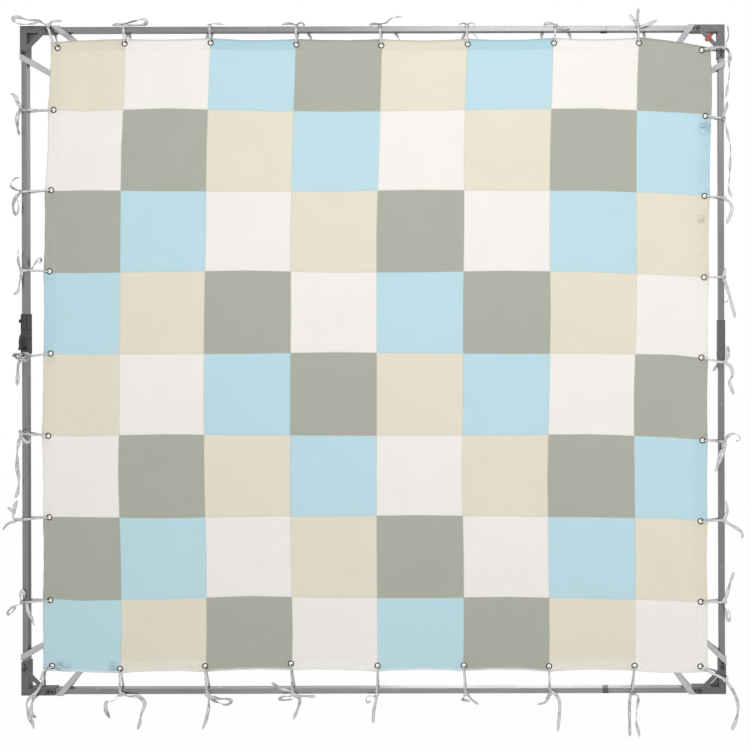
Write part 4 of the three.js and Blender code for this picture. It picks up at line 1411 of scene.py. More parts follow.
@dataclass
class PatchworkCloth:
    """The patchwork: sixty-four patches sewn together, hemmed all round, with an eyelet per tie.

    The measured insets say how far the cloth's edge is inside each tube's centre line, in
    millimetres, from corner to corner: at each eyelet and halfway between them. The seams are
    measured in millimetres from the frame's centre, at the middle of each patch that they pass:
    the upright ones from left to right and downwards, the level ones downwards and to the right.
    A crease is its place from the frame's centre and its reach, in millimetres, and its share.
    A slack wave is its height, its waves per metre right and up, and its seed. The crumple by the
    right edge starts and gains at a height over a length, in patches, and ends at a height.
    """

    finishes: Finishes
    thick: float = 0.8 * MM
    hem: float = 40 * MM
    side_hem: float = 49 * MM
    hole: float = 8.5 * MM
    flange: float = 12 * MM
    fine: float = 2.4 * MM
    wide: float = 264 * MM
    tall: float = 262 * MM
    top: tuple = (40, 34, 30, 32, 27, 35, 31, 36, 32, 37, 31, 36, 29, 35, 28, 43, 64)
    bottom: tuple = (69, 64, 59, 66, 63, 71, 69, 70, 62, 69, 64, 69, 61, 68, 63, 56, 60)
    left: tuple = (57, 56, 56, 59, 57, 57, 53, 57, 59, 62, 60, 65, 65, 75, 76, 85, 88)
    right: tuple = (48, 49, 48, 52, 48, 50, 47, 49, 45, 46, 41, 42, 38, 37, 32, 30, 36)
    near_edge: tuple = (0, 4, 9, 14, 19, 24, 30, 37, 41, 46)
    near_seam: tuple = (0, 3, 7, 13, 22)
    coarse: float = 17 * MM
    pattern: tuple = ("BWSGBSWG", "WGBSWBGS", "GSWBGWSB", "SBGWSGBW")
    tight: float = 0.35
    pull_reach: float = 26 * MM
    edge_band: float = 120 * MM
    slack_waves: tuple = ((2.0 * MM, 3.1, 3.1, 2.0), (0.7 * MM, 9.0, 11.0, 4.0))
    valley_deep: float = 0.55 * MM
    valley_half: float = 3.5 * MM
    hem_rise: float = 0.4 * MM
    hem_step: float = 3 * MM
    hem_past: float = 1 * MM
    hem_blur: float = 4 * MM
    side_blur: float = 8 * MM
    side_share: float = 0.4
    low_highlight_band: float = 9 * MM
    low_highlight_blur: float = 5 * MM
    low_highlight_share: float = 0.85
    top_shadow_band: float = 7 * MM
    top_shadow_blur: float = 5 * MM
    pucker_band: float = 160 * MM
    pucker_reach: float = 200 * MM
    pucker_fade: float = 50 * MM
    pucker_flat: float = 20 * MM
    pucker_high: float = 1.5 * MM
    pucker_rays: int = 7
    ripple_high: float = 1.1 * MM
    ripple_fade: float = 35 * MM
    ripples: float = 3.3
    ripple_sway: float = 1.3
    crumple_band: float = 48 * MM
    crumple_fade: float = 34 * MM
    crumple_start: tuple = (4.9, 0.2)
    crumple_gain: tuple = (5.9, 0.9)
    crumple_end: float = 7.05
    crumple_least: float = 0.2
    crumple_more: float = 0.4
    creases: tuple = ((-1084, -1064, 22, 1.5), (-904, -1062, 15, 1.1), (1151, 806, 19, 1.3),
                      (1139, 490, 12, 1.0))
    uprights: tuple = (
        (-863, -876, -880, -883, -885, -889, -881, -879),
        (-570, -580, -583, -589, -592, -590, -584, -583),
        (-272, -282, -288, -288, -291, -292, -290, -284),
        (28, 20, 11, 10, 10, 9, 9, 11),
        (323, 316, 315, 311, 310, 305, 311, 311),
        (624, 615, 612, 615, 610, 603, 606, 609),
        (919, 914, 914, 914, 904, 905, 908, 907),
    )
    levels: tuple = (
        (866, 875, 867, 863, 865, 870, 872, 858),
        (591, 588, 586, 586, 590, 587, 586, 575),
        (304, 307, 311, 303, 304, 308, 303, 291),
        (20, 21, 22, 26, 22, 20, 19, 15),
        (-264, -258, -261, -263, -264, -263, -261, -272),
        (-545, -549, -544, -544, -541, -546, -549, -554),
        (-835, -831, -821, -828, -829, -826, -832, -839),
    )

    def __post_init__(self) -> None:
        """Lists the eyelets and the places where the cloth is crumpled."""
        self.eyes = [tie.places()[1] for tie in TIES]
        self.seats = kdtree.KDTree(len(self.eyes))
        for k, eye in enumerate(self.eyes):
            self.seats.insert(eye, k)
        self.seats.balance()
        self.pulls = [(eye, self.pull_reach, self.tight) for eye in self.eyes]
        self.pulls += [(spot(x * MM, z * MM), reach * MM, share)
                       for x, z, reach, share in self.creases]

    def inset(self, insets: tuple, at: float) -> float:
        """How far inside a tube the cloth's edge is.

        Args:
            insets: That side's insets.
            at: How many patches along the side.

        Returns:
            The inset in metres: a shallow scallop from eyelet to eyelet.
        """
        k = min(int(at), PATCHES - 1)
        t = at - k
        a, m, b = insets[2 * k:2 * k + 3]
        return (a * (1 - t) * (1 - 2 * t) + 4 * m * t * (1 - t) + b * t * (2 * t - 1)) * MM

    def column(self, k: int, v: float) -> float:
        """Where the k-th upright seam or edge is at height v.

        Args:
            k: The seam, 0 and 8 being the cloth's edges.
            v: The height in patches.

        Returns:
            The distance right of the frame's centre.
        """
        if k == 0:
            return -(SIDE_X - self.inset(self.left, v))
        if k == PATCHES:
            return SIDE_X - self.inset(self.right, v)
        seam = self.uprights[k - 1]
        return self.measured(seam, PATCHES - v, (Side.TOP, Side.BOTTOM), k - PATCHES / 2)

    def measured(self, seam: tuple, at: float, sides: tuple[Side, Side], step: float) -> float:
        """Where a seam is, some patches along it.

        Args:
            seam: Its measured places.
            at: How many patches along it.
            sides: The sides where it starts and ends, each at an eyelet.
            step: Its place in steps from the middle seam.

        Returns:
            The distance from the frame's centre.
        """
        places = [sides[0].seam(step), *(place * MM for place in seam), sides[1].seam(step)]
        stops = [0.0, *(k + 0.5 for k in range(PATCHES)), float(PATCHES)]
        k = min(int(at + 0.5), PATCHES)
        return places[k] + (places[k + 1] - places[k]) * (at - stops[k]) / (stops[k + 1] - stops[k])

    def row(self, m: int, u: float) -> float:
        """Where the m-th level seam or edge is at place u.

        Args:
            m: The seam from below, 0 and 8 being the cloth's edges.
            u: The place in patches from the left.

        Returns:
            The distance above the frame's centre.
        """
        if m == 0:
            return -(RAIL_Z - self.inset(self.bottom, u))
        if m == PATCHES:
            return RAIL_Z - self.inset(self.top, u)
        seam = self.levels[PATCHES - 1 - m]
        return self.measured(seam, u, (Side.LEFT, Side.RIGHT), m - PATCHES / 2)

    def flat(self, u: float, v: float) -> Place:
        """A place on the cloth.

        Args:
            u: Patches from the left edge.
            v: Patches from the bottom edge.

        Returns:
            The place, measured.
        """
        k, m = min(int(u), PATCHES - 1), min(int(v), PATCHES - 1)
        x = self.column(k, v) + (self.column(k + 1, v) - self.column(k, v)) * (u - k)
        z = self.row(m, u) + (self.row(m + 1, u) - self.row(m, u)) * (v - m)
        edge = min(min(u, PATCHES - u) * self.wide, min(v, PATCHES - v) * self.tall)
        return Place(u, v, x, z, edge)

    def hems(self, colour: str, row: int, u: float, v: float) -> tuple[float, float]:
        """How plainly a patch's hem shows at a place.

        Args:
            colour: The patch's colour.
            row: Its row from the top.
            u: Patches from the left edge.
            v: Patches from the bottom edge.

        Returns:
            The shares of the painted hem shade, along the top and the sides, and of the painted
            highlight, along the bottom.
        """
        hem = self.hem + self.hem_past
        if row == PATCHES - 1:
            up = v * self.tall
            # The bottom row: painted highlight along its hem and along the bottom edge.
            low = rising(hem, up, self.hem_blur) * LOW_HEM_SHOWS.get(colour, 0.0)
            return 0.0, max(low, self.low_highlight_share * rising(self.low_highlight_band, up, self.low_highlight_blur))
        # Other rows: painted shade along the top hem and, less, along the side hems.
        high = rising(hem, (PATCHES - v) * self.tall, self.hem_blur)
        beside = rising(self.side_hem, min(u, PATCHES - u) * self.wide, self.side_blur)
        return HEM_SHOWS.get(colour, 0.0) * max(high, self.side_share * beside), 0.0

    def crumple(self, place: Place) -> float:
        """How much the cloth is crumpled at a place: by the right edge, and at the eyelets.

        Args:
            place: The place.

        Returns:
            A share from 0 to 1, or more in the deepest creases.
        """
        aside = (PATCHES - place.u) * self.wide
        share = rising(self.crumple_band, aside, self.crumple_fade)
        share *= self.crumple_least + self.crumple_more * rising(place.v, *self.crumple_gain)
        share *= rising(place.v, *self.crumple_start)
        share *= ease(self.crumple_end - place.v)
        if place.edge < self.edge_band:
            here = spot(place.x, place.z)
            for middle, reach, pull in self.pulls:
                share = max(share, pull * math.exp(-((here - middle).length / reach) ** 2))
        return share

    def bulge(self, place: Place) -> float:
        """How far the cloth stands forward at a place.

        Args:
            place: The place.

        Returns:
            The distance in front of the frame's middle plane.
        """
        u, v, x, z = place.u, place.v, place.x, place.z
        slack = sum(high * noise.noise(Vector((x * right, z * up, seed)))
                    for high, right, up, seed in self.slack_waves)
        inside = min(u, PATCHES - u, v, PATCHES - v) > 0.5
        seams = (abs(u - round(u)) * PATCH_WIDE, abs(v - round(v)) * PATCH_TALL)
        valley = sum(math.exp(-(d / self.valley_half) ** 2) for d in seams) if inside else 0.0
        hem = self.hem_rise * rising(self.hem, place.edge, self.hem_step)
        pucker, free = self.pucker(place) if place.edge < self.pucker_band else (0.0, 1.0)
        return (slack + hem + pucker - self.valley_deep * valley) * free

    def pucker(self, place: Place) -> tuple[float, float]:
        """How the cloth puckers by its edge and at the eyelets.

        Args:
            place: A place near the edge.

        Returns:
            How far it stands forward, and the share of its relief that an eyelet leaves it.
        """
        u, v = place.u, place.v
        here = spot(place.x, place.z)
        found = 0.0
        free = 1.0
        for eye in self.eyes:
            away = here - eye
            reach = away.length
            free = min(free, ease((reach - self.flange) / (2 * self.flange)))
            if reach < self.pucker_reach:
                swing = math.cos(self.pucker_rays * math.atan2(away.z, away.x) + 3 * eye.x)
                near = math.exp(-reach / self.pucker_fade)
                found += self.pucker_high * swing * near * (1 - math.exp(-reach / self.pucker_flat))
        lengthwise = u if min(v, PATCHES - v) < min(u, PATCHES - u) else v
        sway = self.ripple_sway * math.sin(lengthwise * 5)
        ripple = math.sin(math.tau * self.ripples * lengthwise + sway)
        return found + self.ripple_high * math.exp(-place.edge / self.ripple_fade) * ripple, free

    def front(self, u: float, v: float, lift: float) -> Vector:
        """A point in front of the cloth's face, lifted off it."""
        place = self.flat(u, v)
        return spot(place.x, place.z, self.bulge(place) + self.thick / 2 + lift)

    def lines(self, patch: float) -> list[float]:
        """The mesh's lines across one direction, close together at edges and seams.

        Args:
            patch: The patch's size in that direction.

        Returns:
            The places in patches from the edge.
        """
        found = set()
        for k in range(PATCHES):
            for towards, first in ((1, k == 0), (-1, k == PATCHES - 1)):
                near = self.near_edge if first else self.near_seam
                steps = [s * MM / patch for s in near]
                count = max(1, round((0.5 - steps[-1]) * patch / self.coarse))
                steps += [steps[-1] + (0.5 - steps[-1]) * (i + 1) / count for i in range(count)]
                found.update(round(k + s if towards == 1 else k + 1 - s, 6) for s in steps)
        return sorted(found)

    def build(self) -> Object:
        """Makes the cloth.

        Returns:
            The cloth.
        """
        us, vs = self.lines(PATCH_WIDE * 0.89), self.lines(PATCH_TALL * 0.93)
        shape = bmesh.new()
        uv = shape.loops.layers.uv.new("cloth")
        hem, fold = (shape.loops.layers.float.new(name) for name in ("hem", "low_edge_highlight"))
        seam, roll, crumple = (shape.verts.layers.float.new(name)
                               for name in ("seam", "top_edge_shadow", "crumple"))
        grid = []
        for v in vs:
            line = []
            for u in us:
                place = self.flat(u, v)
                vert = shape.verts.new(spot(place.x, place.z, self.bulge(place)))
                # A painted shadow line along the top edge.
                vert[roll] = rising(self.top_shadow_band, (PATCHES - v) * self.tall, self.top_shadow_blur)
                vert[crumple] = self.crumple(place)
                near = min(abs(u - round(u)) * PATCH_WIDE, abs(v - round(v)) * PATCH_TALL)
                vert[seam] = 1.0 if near < 1 * MM and place.edge > 1 * MM else 0.0
                line.append(vert)
            grid.append(line)
        for j in range(len(vs) - 1):
            for i in range(len(us) - 1):
                places = ((i, j), (i + 1, j), (i + 1, j + 1), (i, j + 1))
                made = shape.faces.new([grid[b][a] for a, b in places])
                made.smooth = True
                row = PATCHES - 1 - int((vs[j] + vs[j + 1]) / 2)
                column = int((us[i] + us[i + 1]) / 2)
                colour = self.pattern[row % len(self.pattern)][column]
                made.material_index = "BWSG".index(colour)
                for loop, (a, b) in zip(made.loops, places):
                    loop[uv].uv = (us[a] * PATCH_WIDE, vs[b] * PATCH_TALL)
                    # Each corner's painted hem shade and painted bottom highlight.
                    loop[hem], loop[fold] = self.hems(colour, row, us[a], vs[b])
        self.punch(shape)
        mesh = meshed(shape, "patchwork")
        finishes = self.finishes
        for finish in (finishes.beige, finishes.white, finishes.blue, finishes.grey_green):
            mesh.materials.append(finish)
        holder = shown("patchwork_face", mesh)
        solid = holder.modifiers.new("thickness", "SOLIDIFY")
        solid.thickness = self.thick
        solid.offset = 0
        return settled(holder, "patchwork_cloth")

    def punch(self, shape: BMesh) -> None:
        """Opens a round hole at each eyelet, where the mesh is made finer first.

        Args:
            shape: The cloth's mesh.
        """
        for _ in range(3):
            near = [edge for vert in self.near_eyes(shape, self.flange) for edge in vert.link_edges]
            long = dict.fromkeys(edge for edge in near if edge.calc_length() > self.fine)
            bmesh.ops.subdivide_edges(shape, edges=list(long), cuts=1, use_grid_fill=True)
        inside = self.near_eyes(shape, self.hole)
        opened = dict.fromkeys(face for vert in inside for face in vert.link_faces
                               if all(corner in inside for corner in face.verts))
        for vert, eye in inside.items():
            away = Vector((vert.co.x - eye.x, 0, vert.co.z - eye.z))
            rim = (away if away.length > 1e-6 else RIGHTWARD).normalized() * self.hole
            vert.co.x, vert.co.z = eye.x + rim.x, eye.z + rim.z
        bmesh.ops.delete(shape, geom=list(opened), context="FACES")

    def near_eyes(self, shape: BMesh, reach: float) -> dict[BMVert, Vector]:
        """Finds the cloth's points near an eyelet, seen from the front.

        Args:
            shape: The cloth's mesh.
            reach: How near they are.

        Returns:
            The points, each with its eyelet.
        """
        found = {}
        for vert in shape.verts:
            eye, _, gap = self.seats.find((vert.co.x, MID_Y, vert.co.z))
            if gap < reach:
                found[vert] = eye
        return found

    def eyelets(self) -> Object:
        """Makes the eyelets: a rolled rim on a flat flange, one per tie.

        Returns:
            The eyelets as one piece.
        """
        tree = Tree("eyelets", {"Rim": 8.4 * MM, "Flange": 9.4 * MM})
        parts = []
        for key, wide, deep in (("Rim", 1.9, 2.0), ("Flange", 2.1, 1.1)):
            ring = tree.geometry("CurvePrimitiveCircle", Resolution=28, Radius=tree.size(key))
            section = tree.geometry("CurvePrimitiveCircle", Resolution=8, Radius=1 * MM)
            parts.append(tree.swept(ring, tree.moved(section, Scale=(wide, deep, 1))))
        stood = tree.moved(tree.joined(*parts), Rotation=(math.pi / 2, 0, 0))
        return tree.strewn(stood, self.eyes, self.finishes.eyelet, "eyelets")

    def stitches(self) -> Object:
        """Makes the stitching along every seam and along both rows of the hem.

        Returns:
            The stitches as one piece.
        """
        tree = Tree("stitches", {"Pitch": 6.5 * MM, "Long": 4.6 * MM, "Thick": 0.7 * MM})
        line = tree.geometry("MeshToCurve", Mesh=tree.given.outputs[0])
        spaced = tree.geometry("ResampleCurve", mode="LENGTH", Curve=line,
                               Length=tree.size("Pitch"))
        thin = tree.size("Thick")
        stitch = tree.oval(5, 3, 0.5, thin, thin, tree.size("Long"))
        way = tree.node("FunctionNodeAlignRotationToVector", axis="Z",
                        Vector=tree.geometry("InputTangent"))
        placed = tree.geometry("InstanceOnPoints", Points=spaced, Instance=stitch,
                               Rotation=way.outputs[0])
        points, edges = [], []
        inner, outer = self.hem - 3 * MM, 5 * MM
        for margin in (inner, outer):
            u0, v0 = margin / self.wide, margin / self.tall
            u1, v1 = PATCHES - u0, PATCHES - v0
            corners = ((u0, v0), (u1, v0), (u1, v1), (u0, v1))
            for k, corner in enumerate(corners):
                self.sew(points, edges, corner, corners[(k + 1) % len(corners)])
        low = self.hem / self.wide
        for k in range(1, PATCHES):
            beside = k + 0.008
            self.sew(points, edges, (beside, low), (beside, PATCHES - low))
            self.sew(points, edges, (low, beside), (PATCHES - low, beside))
        return tree.run(points, edges, placed, self.finishes.thread, "stitches")

    def sew(self, points: list[Vector], edges: list[tuple[int, int]], start: tuple,
            end: tuple, steps: int = 320) -> None:
        """Adds one line of stitching, which stops at the eyelets.

        Args:
            points: The points so far, which get the line's points.
            edges: The lines between them so far.
            start: Where the line starts, in patches.
            end: Where it ends.
            steps: How many lengths it has.
        """
        running = False
        for i in range(steps + 1):
            t = i / steps
            u, v = (a + (b - a) * t for a, b in zip(start, end))
            here = self.front(u, v, 0.12 * MM)
            if self.seats.find((here.x, MID_Y, here.z))[2] < self.flange + 2 * MM:
                running = False
                continue
            if running:
                edges.append((len(points) - 1, len(points)))
            points.append(here)
            running = True

    def dress(self) -> None:
        cloth = dressed(self.build(), FRAME_BODY, "cloth", "cloth")
        rings = dressed(self.eyelets(), FRAME_BODY, "pin")
        seams = dressed(self.stitches(), FRAME_BODY, "cloth")


# Frame fittings


class Way(Enum):
    """Which way a coupler's lever and pin point, as a turn about the upright axis."""

    LEFT = math.pi
    REAR = math.pi / 2


@dataclass
class FrameFittings:
    """The frame's metal and plastic: tubes, elbows, braces, couplers and their moving parts."""

    finishes: Finishes
    bolt_from_corner: float = 92 * MM
    grub_from_corner: float = 107 * MM
    brace_front: float = SLEEVE / 2 + 3.3 * MM
    grub_front: float = SLEEVE / 2 - 1.6 * MM
    collar_low: float = 791.7 * MM
    collar_high: float = 812.7 * MM
    coupler: float = 139 * MM
    left_middle: float = 92 * MM
    right_middle: float = 66 * MM
    pin_up: float = 45.2 * MM
    knob_out: float = 7.7 * MM
    lock_turn: float = math.radians(47)
    lock_x: float = 1162.389 * MM
    lock_z: float = -35.189 * MM
    lock_corner: float = 1.4
    lock_step: float = 1.6

    def __post_init__(self) -> None:
        """Places the lock lever's pivot."""
        self.lock_pivot = Vector((self.lock_x, MID_Y, self.lock_z))

    def fitted(self, node: str, body: str, slot: str, finish: Material, width: float) -> None:
        """Puts a finished copy of a node, with its edges rounded over, in the node's place.

        Args:
            node: The node that it replaces.
            body: The body that it rides on.
            slot: The record's material slot.
            finish: Its material.
            width: How far from an edge the rounding starts.
        """
        shape = bmesh.new()
        shape.from_mesh(frame["nodes"][node].data)
        bmesh.ops.remove_doubles(shape, verts=shape.verts, dist=0.01 * MM)
        bmesh.ops.dissolve_limit(shape, angle_limit=math.radians(0.5), verts=shape.verts,
                                 edges=shape.edges)
        for face in shape.faces:
            face.smooth = True
        name = node + "_finished"
        mesh = meshed(shape, name)
        mesh.materials.clear()
        holder = shown(name + "_plain", mesh)
        bevel = holder.modifiers.new("rounding", "BEVEL")
        bevel.width = width
        bevel.segments = 3
        bevel.limit_method = "ANGLE"
        bevel.angle_limit = math.radians(35)
        bevel.harden_normals = True
        shading = holder.modifiers.new("flat_faces", "WEIGHTED_NORMAL")
        shading.weight = 100
        made = settled(holder, name)
        made.data.materials.append(finish)
        dressed(made, body, slot, node)

    def tubes(self) -> None:
        """Gives the tubes, which stay as they are, their drawn metal."""
        for key, finish in (("_rail_", self.finishes.level_tube),
                            ("_tube_", self.finishes.upright_tube)):
            for node, obj in frame["nodes"].items():
                if key in node:
                    obj.data.materials.clear()
                    obj.data.materials.append(finish)

    def corners(self) -> None:
        """Finishes the elbows and braces, with a socket screw at each end of every brace."""
        for across, up in ((-1, 1), (1, 1), (-1, -1), (1, -1)):
            name = f"{'top' if up > 0 else 'bottom'}_{'right' if across > 0 else 'left'}"
            self.fitted(f"elbow_{name}", FRAME_BODY, "corner_metal", self.finishes.corner, 1.2 * MM)
            self.fitted(f"brace_{name}", FRAME_BODY, "corner_metal", self.finishes.corner, 0.5 * MM)
        self.screws()

    def screws(self) -> None:
        """Makes the braces' socket screws on washers, and the lower screws that grip the tubes."""
        tree = Tree("brace_screws", {"Head": 5.3 * MM, "High": 3.0 * MM, "Washer": 6.6 * MM,
                                     "Socket": 1.9 * MM})
        head = tree.size("Head")
        dome = tree.oval(20, 10, 1.0, head, head, tree.maths("MULTIPLY", tree.size("High"), 1.1))
        hexagon = tree.cylinder(6, tree.size("Socket"), 3.2 * MM)
        hexagon = tree.moved(hexagon, Translation=tree.vector(0.0, 0.0, tree.size("High")))
        cut = tree.geometry("MeshBoolean", operation="DIFFERENCE", Mesh_1=dome, Mesh_2=hexagon)
        washer = tree.cylinder(24, tree.size("Washer"), 0.9 * MM)
        washer = tree.moved(washer, Translation=(0, 0, 0.3 * MM))
        stood = tree.moved(tree.joined(cut, washer), Rotation=(math.pi / 2, 0, 0))
        points = []
        for across in (-1, 1):
            for up in (-1, 1):
                for inset, front in ((self.bolt_from_corner, self.brace_front),
                                     (self.grub_from_corner, self.grub_front)):
                    points.append(spot(across * SIDE_X, up * (HALF_H - inset), front))
                    points.append(spot(across * (HALF_W - inset), up * RAIL_Z, front))
        made = tree.strewn(stood, points, self.finishes.screw, "brace_screws")
        made.data.set_sharp_from_angle(angle=math.radians(35))
        dressed(made, FRAME_BODY, "pin")

    def slab(self, name: str, corners: tuple, bore: float, deep: tuple[float, float],
             rounding: float) -> Mesh:
        """A flat piece of the lock lever, with rounded edges.

        Args:
            name: The mesh's name.
            corners: Its corners in millimetres: lengthwise and across, from the pivot.
            bore: The radius of the bore on the pivot, or 0.
            deep: How far forward of the pivot its back and its front are.
            rounding: The radius of its edges.

        Returns:
            The mesh.
        """
        way = Vector((math.cos(self.lock_turn), 0, math.sin(self.lock_turn)))
        side = Vector((-way.z, 0, way.x))
        outline = eased_outline(corners, self.lock_corner, self.lock_step)
        middle = Vector((0, 0)) if bore else sum(outline, Vector((0, 0))) / len(outline)
        arc = [(rounding * (1 - math.sin(t)), rounding * (1 - math.cos(t)))
               for t in (0, math.pi / 6, math.pi / 3, math.pi / 2)]
        flat = rounding + 0.4 * MM
        back, front = deep
        profile = [(flat, back)] + [(inset, back + rise) for inset, rise in arc]
        profile += [(inset, front - rise) for inset, rise in reversed(arc)] + [(flat, front)]
        rings = []
        for inset, depth in profile:
            base = self.lock_pivot + FORWARD * depth
            drawn = [point - (point - middle).normalized() * (inset / MM) for point in outline]
            rings.append([base + (way * point.x + side * point.y) * MM for point in drawn])
        if bore:
            turned = [point.normalized() * bore for point in outline]
            for depth, at in ((back, 0), (front, len(rings) + 1)):
                base = self.lock_pivot + FORWARD * depth
                rings.insert(at, [base + way * p.x + side * p.y for p in turned])
        return ringed(name, rings, bore > 0)

    def lock(self) -> None:
        """Makes the lock lever and its rubber tip."""
        low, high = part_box("lock_lever")
        self.lock_pivot.y = (low.y + high.y) / 2
        half = (high.y - low.y) / 2
        plate = ((-16, -4), (-12, -8), (3, -8), (14, -4.5), (21, -2), (21, 3), (14, 5.5), (3, 8),
                 (-12, 7), (-16, 4))
        cap = ((12.6, -5.4), (17.0, -4.2), (21.4, -2.8), (22.2, 0.6), (21.4, 3.8), (17.0, 5.4),
               (12.2, 6.6))
        shape = self.slab("lock_lever_finished", plate, 2.9 * MM, (-half, half), 0.9 * MM)
        lever = shown("lock_lever_finished", shape)
        lever.data.materials.append(self.finishes.red)
        dressed(lever, "lock_lever", "lock", "lock_lever")
        deep = (-half - 0.1 * MM, half + 0.5 * MM)
        tip = shown("lock_lever_tip", self.slab("lock_lever_tip", cap, 0.0, deep, 0.7 * MM))
        tip.data.materials.append(self.finishes.rubber)
        dressed(tip, "lock_lever", "lock")

    def rings(self, name: str, places: list[Vector], level: bool, side: float, thick: float,
              long: float, finish: Material) -> Object:
        """Makes square rings round a tube or sleeve.

        Args:
            name: The piece's name.
            places: The rings' middles.
            level: Whether the tube runs level.
            side: The size across the ring's middle line.
            thick: How thick the ring's section is.
            long: How long the section is along the tube.
            finish: The material.

        Returns:
            The rings as one piece.
        """
        tree = Tree(name, {"Side": side, "Thick": thick, "Long": long})
        path = tree.geometry("CurvePrimitiveQuadrilateral", Width=tree.size("Side"),
                             Height=tree.size("Side"))
        rounded = tree.geometry("FilletCurve", mode="POLY", Curve=path, Count=4, Radius=1.6 * MM)
        section = tree.geometry("CurvePrimitiveCircle", Resolution=12, Radius=0.5)
        flat = tree.vector(tree.size("Thick"), tree.size("Long"), 1.0)
        ring = tree.swept(rounded, tree.moved(section, Scale=flat))
        if level:
            ring = tree.moved(ring, Rotation=(0, math.pi / 2, 0))
        return tree.strewn(ring, places, finish, name)

    def collars(self) -> None:
        """Makes the collars where the rails plug together: the top one bright, over a dark clip."""
        middle = (self.collar_low + self.collar_high) / 2
        long = self.collar_high - self.collar_low
        finishes = self.finishes
        for name, up, finish in (("top", 1, finishes.level_tube), ("bottom", -1, finishes.collar)):
            made = self.rings(f"{name}_rail_collar", [spot(middle, up * RAIL_Z)], True,
                              TUBE - 0.2 * MM, 0.8 * MM, long, finish)
            dressed(made, FRAME_BODY, "tube")
        tree = Tree("rail_clip", {"Long": long + 2 * MM, "Wide": TUBE - 0.6 * MM, "High": 2.2 * MM})
        size = tree.vector(*(tree.size(key) for key in ("Long", "Wide", "High")))
        plate = tree.geometry("MeshCube", Size=size)
        under = spot(middle, RAIL_Z - TUBE / 2 - 0.2 * MM)
        dressed(tree.strewn(plate, [under], finishes.jet, "rail_clip"), FRAME_BODY, "pin")

    def couplers(self) -> None:
        """Finishes the couplers with their ribs, clamp levers and pull pins."""
        black, screw = self.finishes.black, self.finishes.screw
        for name, across, middle, finish, slot, way in (
                ("left", -1, self.left_middle, black, "coupler", Way.LEFT),
                ("right", 1, self.right_middle, self.finishes.dark_grey, "coupler_grey", Way.REAR)):
            lever, pin = f"{name}_clamp_lever", f"{name}_pull_pin"
            self.fitted(f"{name}_coupler", FRAME_BODY, slot, finish, 0.8 * MM)
            self.fitted(lever, lever, "lever", black, 0.7 * MM)
            self.fitted(pin, pin, "pin", screw, 0.5 * MM)
            self.knob(name, across, middle, way)
            low, high = middle - self.coupler / 2, middle + self.coupler / 2
            heights = [low + (6 + 5.5 * k) * MM for k in range(9)]
            heights += [high - d * MM for d in (3, 34)]
            places = [spot(across * SIDE_X, height) for height in heights]
            ribs = self.rings(f"{name}_coupler_ribs", places, False, SLEEVE - 0.3 * MM,
                              1.1 * MM, 2.2 * MM, finish)
            dressed(ribs, FRAME_BODY, slot)
        self.grooves()

    def grooves(self) -> None:
        """Paints shade in the left coupler's grooves: two upright, two round it, a panel."""
        middle = self.left_middle
        jet = self.finishes.jet
        # Near-black pieces on the moulding stand in for the shade in its recessed grooves and
        # panel.
        tree = Tree("coupler_grooves", {"Deep": 0.9 * MM})
        size = tree.vector(1.0, tree.size("Deep"), 1.0)
        block = tree.geometry("MeshCube", Size=size)
        made = []
        for aside, above, wide, long in ((-8.2, 43, 3.4, 46), (8.4, 43, 2.6, 46),
                                         (0, -37, 19, 36), (-3, -9, 8, 5)):
            shaped = tree.moved(block, Scale=(wide * MM, 1.0, long * MM))
            made.append(tree.moved(shaped, Translation=(aside * MM, 0.0, above * MM)))
        here = spot(-SIDE_X, middle, SLEEVE / 2)
        cut = tree.strewn(tree.joined(*made), [here], jet, "coupler_grooves")
        dressed(cut, FRAME_BODY, "coupler")
        around = [spot(-SIDE_X, middle + d * MM) for d in (15, -15)]
        groove_shade_rings = self.rings("coupler_bands", around, False, SLEEVE - 0.2 * MM, 1.0 * MM, 3.0 * MM,
                           jet)
        dressed(groove_shade_rings, FRAME_BODY, "coupler")

    def knob(self, name: str, across: int, middle: float, way: Way) -> None:
        """Makes the ridges round a pull pin's knob.

        Args:
            name: The coupler's side.
            across: -1 on the left, 1 on the right.
            middle: The coupler's height.
            way: Which way the pin points.
        """
        tree = Tree(f"{name}_knob", {"Knob": 5.8 * MM, "Ridge": 0.8 * MM, "Long": 6.4 * MM})
        knob, thin, long = (tree.size(key) for key in ("Knob", "Ridge", "Long"))
        circle = tree.geometry("MeshCircle", Vertices=18, Radius=knob)
        ridge = tree.oval(6, 6, 1.0, thin, thin, tree.maths("MULTIPLY", long, 0.5))
        crown = tree.geometry("InstanceOnPoints", Points=circle, Instance=ridge)
        level = tree.moved(tree.joined(crown, tree.cylinder(24, knob, long)),
                           Rotation=(0, math.pi / 2, 0))
        turned = tree.moved(level, Rotation=(0, 0, way.value))
        away = Vector((math.cos(way.value), math.sin(way.value), 0)) * (SLEEVE / 2 + self.knob_out)
        here = spot(across * SIDE_X, middle + self.pin_up) + away
        made = tree.strewn(turned, [here], self.finishes.screw, f"{name}_knob_ridges")
        dressed(made, f"{name}_pull_pin", "pin")

    def dress(self) -> None:
        """Finishes the whole frame."""
        self.tubes()
        self.corners()
        self.lock()
        self.collars()
        self.couplers()


# Studio


@dataclass(frozen=True)
class Softbox:
    """One light, in metres and watts; one that isn't matt is narrow and shows only on metal."""

    name: str
    place: tuple
    target: tuple
    size: tuple
    power: float
    matt: bool = True
    gloss: bool = True


